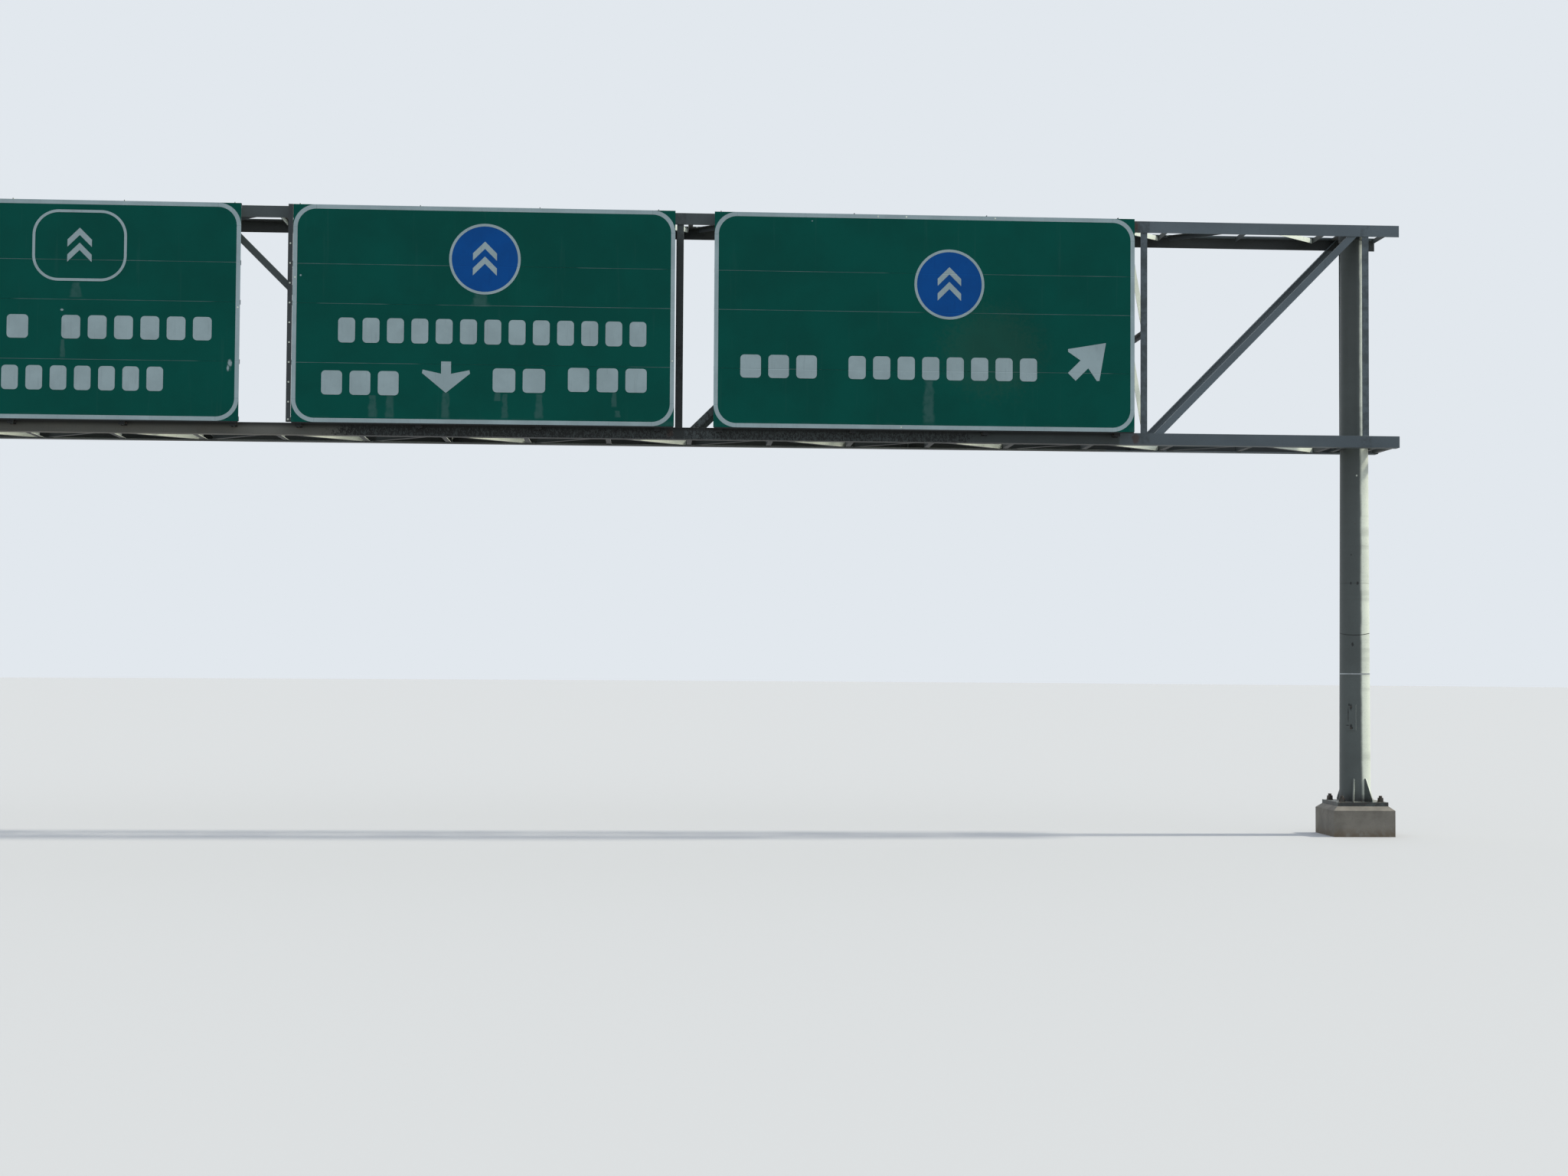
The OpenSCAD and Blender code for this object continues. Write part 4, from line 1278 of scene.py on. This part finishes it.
class GANTRY_OT_drip_edges(bpy.types.Operator):
    """Puts the strips on that hang down behind the panels' lower edges, in lengths between the beams"""
    bl_idname = "gantry.drip_edges"
    bl_label = "Put on the drip edges"

    def execute(self, context):
        film = context.scene.gantry_film
        thick = film.lip_t
        for sign in SIGNS:
            lowest, highest = box(f"{sign}_sign_sheets")
            foot, back = lowest.z - film.lip_out, highest.y
            beams = solids(f"{sign}_sign_beams")
            edges = [lowest.x + SHORT, *((a.x + b.x) / 2 for a, b, _ in beams[1:-1]), highest.x - SHORT]
            profile = [(back, foot), (back + thick * 3, foot + thick), (back + thick, foot + thick * 2),
                       (back + thick, foot + film.lip_h), (back, foot + film.lip_h)]
            shape = Shape()
            for left, right in zip(edges, edges[1:]):
                shape.strips([[(x, y, z) for y, z in profile] for x in (right - SHORT / 2, left + SHORT / 2)])
            shape.make(f"{sign}_sign_drip_edges", "Bracing paint")
        return {"FINISHED"}


class GANTRY_OT_welds(bpy.types.Operator):
    """Lays the weld beads of the truss, its bracing and the post feet"""
    bl_idname = "gantry.welds"
    bl_label = "Lay the welds"

    def execute(self, context):
        steel = context.scene.gantry_steel
        self.radius, self.step = steel.bead_r, steel.bead_step
        self.dice = random.Random(BEAD_SEED)
        self.web_welds()
        self.bracing_welds()
        self.foot_welds()
        return {"FINISHED"}

    def line(self, shape, a, b):
        """A straight bead, which doesn't reach past the ends of the chords."""
        room = cad_box[1][X] - self.radius * 1.2
        ends = [Vector((max(-room, min(room, p.x)), p.y, p.z)) for p in (a, b)]
        bead(shape, ends, self.radius, self.step, self.dice)

    def member(self, shape, edges, limits, toe_axis, toe):
        """Beads along a member's edges in a thin box, and one across it at the toe of what carries it."""
        lines = clipped(edges, *limits)
        for a, b in lines:
            self.line(shape, a, b)
        ends = [p for pair in lines for p in pair if abs(p[toe_axis] - toe) < SAME * 20]
        if len(ends) > 1:
            across = max(range(3), key=lambda i: max(p[i] for p in ends) - min(p[i] for p in ends))
            ends.sort(key=lambda p: p[across])
            if (ends[-1] - ends[0]).length > SHORT:
                self.line(shape, ends[0], ends[-1])

    def crossing(self, shape, edges, toes, **limits):
        """Beads of a member that reaches from the front side to the rear one, on what carries it there."""
        for toe, room in zip(toes, ((-FAR, toes[0]), (toes[1], FAR))):
            self.member(shape, edges, slab(y=room, **limits), Y, toe)

    def web_welds(self):
        """Uprights and diagonals on the chords' inner faces."""
        for side, pick in (("front", low), ("rear", high)):
            shape = Shape()
            y = pick(f"{side}_verticals").y
            for node in (f"{side}_verticals", f"{side}_diagonals"):
                for _, _, edges in solids(node):
                    for level, toe in (("bottom", high), ("top", low)):
                        chord = f"{side}_{level}_chord"
                        self.member(shape, edges, slab(y=near(y), z=(low(chord).z, high(chord).z)), Z,
                                    toe(chord).z)
            shape.make(f"{side}_web_welds", "Truss paint", smooth=True)

    def bracing_welds(self):
        """Struts and laterals on the chords' flat legs, and cross frames on the uprights' inner legs."""
        for level, pick in (("top", high), ("bottom", low)):
            shape = Shape()
            toes = high(f"front_{level}_chord").y, low(f"rear_{level}_chord").y
            for _, _, edges in solids(f"{level}_bracing"):
                self.crossing(shape, edges, toes, z=near(pick(f"{level}_bracing").z))
            shape.make(f"{level}_bracing_welds", "Bracing paint", smooth=True)
        shape = Shape()
        toes = high("front_verticals").y, low("rear_verticals").y
        for lowest, highest, edges in solids("cross_frames"):
            x = highest.x if lowest.x + highest.x > 0 or abs(highest.x) < 0.1 else lowest.x
            self.crossing(shape, edges, toes, x=near(x))
        shape.make("cross_frame_welds", "Bracing paint", smooth=True)

    def foot_welds(self):
        """Rings round the posts' feet and heads, and beads along the gussets."""
        for end in ENDS:
            shape, pole = Shape(), post(end)
            for z in (pole.foot, pole.head):
                ring = pole.ring(z, SIDES["post"])
                bead(shape, ring, self.radius * RING_BEAD, self.step, self.dice, closed=True)
            for _, _, edges in solids(f"{end}_base_gussets"):
                lines = clipped(edges, *slab(z=near(pole.foot)))
                lines += [(a, b) for a, b in edges if abs(a.z - b.z) > SHORT
                          and max(pole.reach(p) - pole.radius(p.z) for p in (a, b)) < SHORT]
                for a, b in lines:
                    self.line(shape, a, b)
            shape.make(f"{end}_foot_welds", "Post paint", smooth=True)


class GANTRY_OT_bolts(bpy.types.Operator):
    """Puts in the beams' clamp bolts, the stiffener clips, the hand hole screws and the anchors' threads"""
    bl_idname = "gantry.bolts"
    bl_label = "Put in the bolts"

    def execute(self, context):
        hardware = context.scene.gantry_hardware
        sizes = hardware.head_w, hardware.head_h, hardware.washer_w, hardware.washer_t
        self.head = bolt_head(*sizes)
        self.nut = bolt_head(*sizes, end_w=hardware.head_w * 0.6, end_h=hardware.head_h * 1.2)
        for sign in SIGNS:
            self.beam_bolts(sign)
            self.stiffener_clips(sign, hardware)
        for end in ENDS:
            self.cover_screws(end, hardware.screw_w)
            self.thread_ends(end)
        return {"FINISHED"}

    def beam_bolts(self, sign):
        """Bolts through a beam's rear flange and the chords' upright legs."""
        shape = Shape()
        flange = levels(f"{sign}_sign_beams", Y)[-2]
        inner, top = low("front_verticals").y, low("front_top_chord").z
        for lowest, highest, _ in solids(f"{sign}_sign_beams"):
            x, reach = (lowest.x + highest.x) / 2, (highest.x - lowest.x) * BOLT_SIDE
            bottom = (lowest.z + high("front_bottom_chord").z) / 2
            for z in (bottom, *(top + lift for lift in BOLT_LIFTS)):
                for side in (-1, 1):
                    shape.place(self.head, facing((0, -1, 0), (x + side * reach, flange, z)))
                    shape.place(self.nut, facing((0, 1, 0), (x + side * reach, inner, z)))
        shape.make(f"{sign}_sign_beam_bolts", "Stained zinc")

    def stiffener_clips(self, sign, hardware):
        """Clips behind each beam's front flange that hold the stiffeners, each with its bolt."""
        shape = Shape()
        front, flange = levels(f"{sign}_sign_beams", Y)[:2]
        width, thick = hardware.clip_w, hardware.clip_t
        for lowest, highest, _ in solids(f"{sign}_sign_beams"):
            for stiff_low, stiff_high, _ in solids(f"{sign}_sign_stiffeners"):
                z = (stiff_low.z + stiff_high.z) / 2
                for side, edge in ((-1, lowest.x), (1, highest.x)):
                    grip, tip = edge - side * CLIP_GRIP, edge + side * width * 0.9
                    profile = [(grip, flange), (edge, flange), (edge + side * thick, front), (tip, front),
                               (tip, front + thick), (edge + side * thick * 1.6, front + thick),
                               (edge + side * thick * 0.4, flange + thick), (grip, flange + thick)]
                    if side > 0:
                        profile.reverse()
                    shape.strips([[(x, y, level) for x, y in profile]
                                  for level in (z - width / 2, z + width / 2)])
                    bolt_x = edge + side * hardware.washer_w * 0.55
                    shape.place(self.nut, facing((0, 1, 0), (bolt_x, front + thick, z)))
        shape.make(f"{sign}_sign_clips", "Stained zinc")

    def cover_screws(self, end, width):
        """Two screws on each hand hole cover, one near its top and one near its foot."""
        shape, pole, node = Shape(), post(end), f"{end}_hand_hole_cover"
        lowest, highest = box(node)
        outward = (lowest + highest) / 2 - pole.axis
        outward.z = 0
        outward.normalize()
        skin = max(pole.reach(p) - pole.radius(p.z) for p in points_of(node))
        screw = bolt_head(width, width * 0.4, width * 1.3, SCREW_WASHER)
        for z in (lowest.z + SCREW_INSET, highest.z - SCREW_INSET):
            place = pole.axis + outward * (pole.radius(z) + skin - SUNK) + Vector((0, 0, z))
            shape.place(screw, facing(outward, place))
        shape.make(f"{end}_cover_screws", "Stained zinc")

    def thread_ends(self, end):
        """Thread on the anchor bolts above their lock nuts."""
        shape, node = Shape(), f"{end}_anchor_bolts"
        for lowest, highest, _ in solids(node):
            centre, top = (lowest + highest) / 2, highest.z
            radius = reach_round(node, centre, top)
            for k in range(THREAD_TURNS):
                z = top - THREAD_START - k * THREAD_PITCH
                shape.strips([[(centre.x + x, centre.y + y, level)
                               for x, y, level in circle(radius * wide, z + lift * THREAD_PITCH,
                                                         SIDES["thread"])]
                              for wide, lift in THREAD])
        shape.make(f"{end}_anchor_threads", "Stained zinc", smooth=True)


class GANTRY_OT_lugs(bpy.types.Operator):
    """Puts the small lugs that the panels were lifted by on the beams' tops"""
    bl_idname = "gantry.lugs"
    bl_label = "Put on the lugs"

    def execute(self, context):
        half = context.scene.gantry_film.lug_t / 2
        top = high("front_top_chord").z
        for sign in SIGNS:
            shape = Shape()
            sheet = high(f"{sign}_sign_sheets")
            for lowest, highest, _ in solids(f"{sign}_sign_beams"):
                x, crest = (lowest.x + highest.x) / 2, top - highest.z
                profile = [(sheet.y + SAME, sheet.z - highest.z), (lowest.y, 0), (highest.y - LUG_BACK, 0),
                           (highest.y - LUG_BACK, crest * 0.4), (highest.y - LUG_CREST, crest),
                           (sheet.y + SAME, crest)]
                shape.strips([[(x + side * half, y, highest.z + z) for y, z in profile] for side in (-1, 1)])
            shape.make(f"{sign}_sign_lugs", "Bracing paint")
        return {"FINISHED"}


class GANTRY_OT_straps(bpy.types.Operator):
    """Puts the steel strap with its buckle round the right post"""
    bl_idname = "gantry.straps"
    bl_label = "Put on the post strap"

    def execute(self, context):
        hardware = context.scene.gantry_hardware
        shape, pole, z = Shape(), post("right"), hardware.strap_z
        half, thick = hardware.strap_h / 2, hardware.strap_t
        shape.strips([pole.ring(z + lift, SIDES["strap"], out + STRAP_GAP)
                      for lift, out in ((-half, 0.0), (half, 0.0), (half, thick), (-half, thick))],
                     closed_path=True)
        # The buckle: a plate between the two folds of the strap's ends
        turn = math.radians(-90) - MARK_TURN - BUCKLE_TURN
        outward = Vector((math.cos(turn), math.sin(turn), 0))
        along = Vector((-outward.y, outward.x, 0))
        half_w, tall = hardware.buckle_w / 2, half * 1.35
        for side, wide, rise in BUCKLE:
            reach = half_w * wide
            centre = pole.axis + outward * (pole.radius(z) + thick) + along * side * half_w * 0.8
            shape.strips([[centre + along * a * reach + Vector((0, 0, z + b * tall)) + outward * out
                           for a, b in ((-1, -1), (1, -1), (1, 1), (-1, 1))]
                          for out in (-SUNK, rise * 0.8, rise)])
        shape.make("right_post_strap", "Mill aluminium", smooth=True)
        return {"FINISHED"}


class GANTRY_OT_stage(bpy.types.Operator):
    """Sets up the floor, the light and the camera"""
    bl_idname = "gantry.stage"
    bl_label = "Set up the studio"

    def execute(self, context):
        stage = context.scene.gantry_stage
        self.floor(stage)
        self.world(stage)
        self.key_light(stage)
        self.camera(context.scene, stage)
        context.scene.view_settings.view_transform = "Standard"
        return {"FINISHED"}

    def seen(self, t):
        """1 for what the camera, a reflection or glass sees directly."""
        path = t.add("ShaderNodeLightPath").outputs
        return t.most(path["Is Camera Ray"], path["Is Glossy Ray"], path["Is Transmission Ray"])

    def floor(self, stage):
        mesh = bpy.data.meshes.new("floor")
        rim = circle(stage.floor_r, 0.0, SIDES["floor"])
        mesh.from_pydata(rim, [], [range(len(rim))])
        floor = bpy.data.objects.new("floor", mesh)
        bpy.context.scene.collection.objects.link(floor)
        paint = bpy.data.materials.new("Studio floor")
        paint.use_nodes = True
        t = Tree(paint.node_tree)
        shader = next(n for n in paint.node_tree.nodes if n.type == "BSDF_PRINCIPLED")
        shader.inputs["Roughness"].default_value = 0.9
        shader.inputs["Specular IOR Level"].default_value = 0.1
        t.feed(shader.inputs["Base Color"], t.over(stage.bounce, stage.floor, self.seen(t)))
        mesh.materials.append(paint)

    def world(self, stage):
        world = bpy.data.worlds.new("Studio")
        world.use_nodes = True
        bpy.context.scene.world = world
        t = Tree(world.node_tree)
        background = next(n for n in world.node_tree.nodes if n.type == "BACKGROUND")
        above = t.span(t.split(t.add("ShaderNodeTexCoord").outputs["Generated"])[Z], -0.1, 0.9)
        light = t.over(scaled(stage.sky, 0.8), stage.sky, above)
        seen = self.seen(t)
        t.feed(background.inputs["Color"], t.over(light, stage.backdrop, seen))
        t.feed(background.inputs["Strength"], t.span(seen, 0.0, 1.0, stage.sky_power, 1.0))

    def key_light(self, stage):
        sun = bpy.data.lights.new("key", "SUN")
        sun.energy = stage.sun_power
        sun.angle = stage.sun_size
        sun.color = stage.sun
        lamp = bpy.data.objects.new("key", sun)
        flat = math.cos(stage.sun_height)
        towards = Vector((math.cos(stage.sun_turn) * flat, math.sin(stage.sun_turn) * flat,
                          math.sin(stage.sun_height)))
        lamp.rotation_euler = towards.to_track_quat("Z", "Y").to_euler()
        lamp.location = towards * LAMP_AWAY
        bpy.context.scene.collection.objects.link(lamp)

    def camera(self, scene, stage):
        data = bpy.data.cameras.new("camera")
        data.sensor_fit = "HORIZONTAL"
        data.sensor_width = SENSOR_W
        data.lens = stage.lens
        data.clip_start = VIEW_START
        data.clip_end = stage.floor_r * 4
        camera = bpy.data.objects.new("camera", data)
        scene.collection.objects.link(camera)
        flat = math.cos(stage.pitch)
        ahead = Vector((math.sin(stage.yaw) * flat, math.cos(stage.yaw) * flat, math.sin(stage.pitch)))
        right = Vector((math.cos(stage.yaw), -math.sin(stage.yaw), 0))
        up = right.cross(ahead)
        cosine, sine = math.cos(stage.roll), math.sin(stage.roll)
        image_right = right * cosine - up * sine
        image_up = right * sine + up * cosine
        turn = Matrix((image_right, image_up, -ahead)).transposed().to_4x4()
        camera.matrix_world = Matrix.Translation(Vector(stage.eye)) @ turn
        scene.camera = camera


class GANTRY_PT_panel(bpy.types.Panel):
    """Lists the steps that dress the gantry"""
    bl_idname = "GANTRY_PT_panel"
    bl_label = "Sign gantry"
    bl_space_type = "VIEW_3D"
    bl_region_type = "UI"
    bl_category = "Gantry"

    def draw(self, context):
        column = self.layout.column()
        for step in STEPS:
            column.operator(step.bl_idname)
        for group in GROUPS:
            properties = getattr(context.scene, group)
            for name in GROUPS[group].__annotations__:
                column.prop(properties, name)


GROUPS = {
    "gantry_film": GantryFilm,
    "gantry_steel": GantrySteel,
    "gantry_hardware": GantryHardware,
    "gantry_stage": GantryStage,
}
STEPS = (GANTRY_OT_paint, GANTRY_OT_round_edges, GANTRY_OT_borders, GANTRY_OT_markers, GANTRY_OT_words,
         GANTRY_OT_arrows, GANTRY_OT_drip_edges, GANTRY_OT_welds, GANTRY_OT_bolts, GANTRY_OT_lugs,
         GANTRY_OT_straps, GANTRY_OT_stage)


def register():
    for kind in (*GROUPS.values(), *STEPS, GANTRY_PT_panel):
        bpy.utils.register_class(kind)
    for name, kind in GROUPS.items():
        setattr(bpy.types.Scene, name, PointerProperty(type=kind))


def unregister():
    for name in GROUPS:
        delattr(bpy.types.Scene, name)
    for kind in (GANTRY_PT_panel, *reversed(STEPS), *reversed(GROUPS.values())):
        bpy.utils.unregister_class(kind)


def main():
    register()
    for step in STEPS:
        family, name = step.bl_idname.split(".")
        getattr(getattr(bpy.ops, family), name)()


if __name__ == "__main__":
    main()
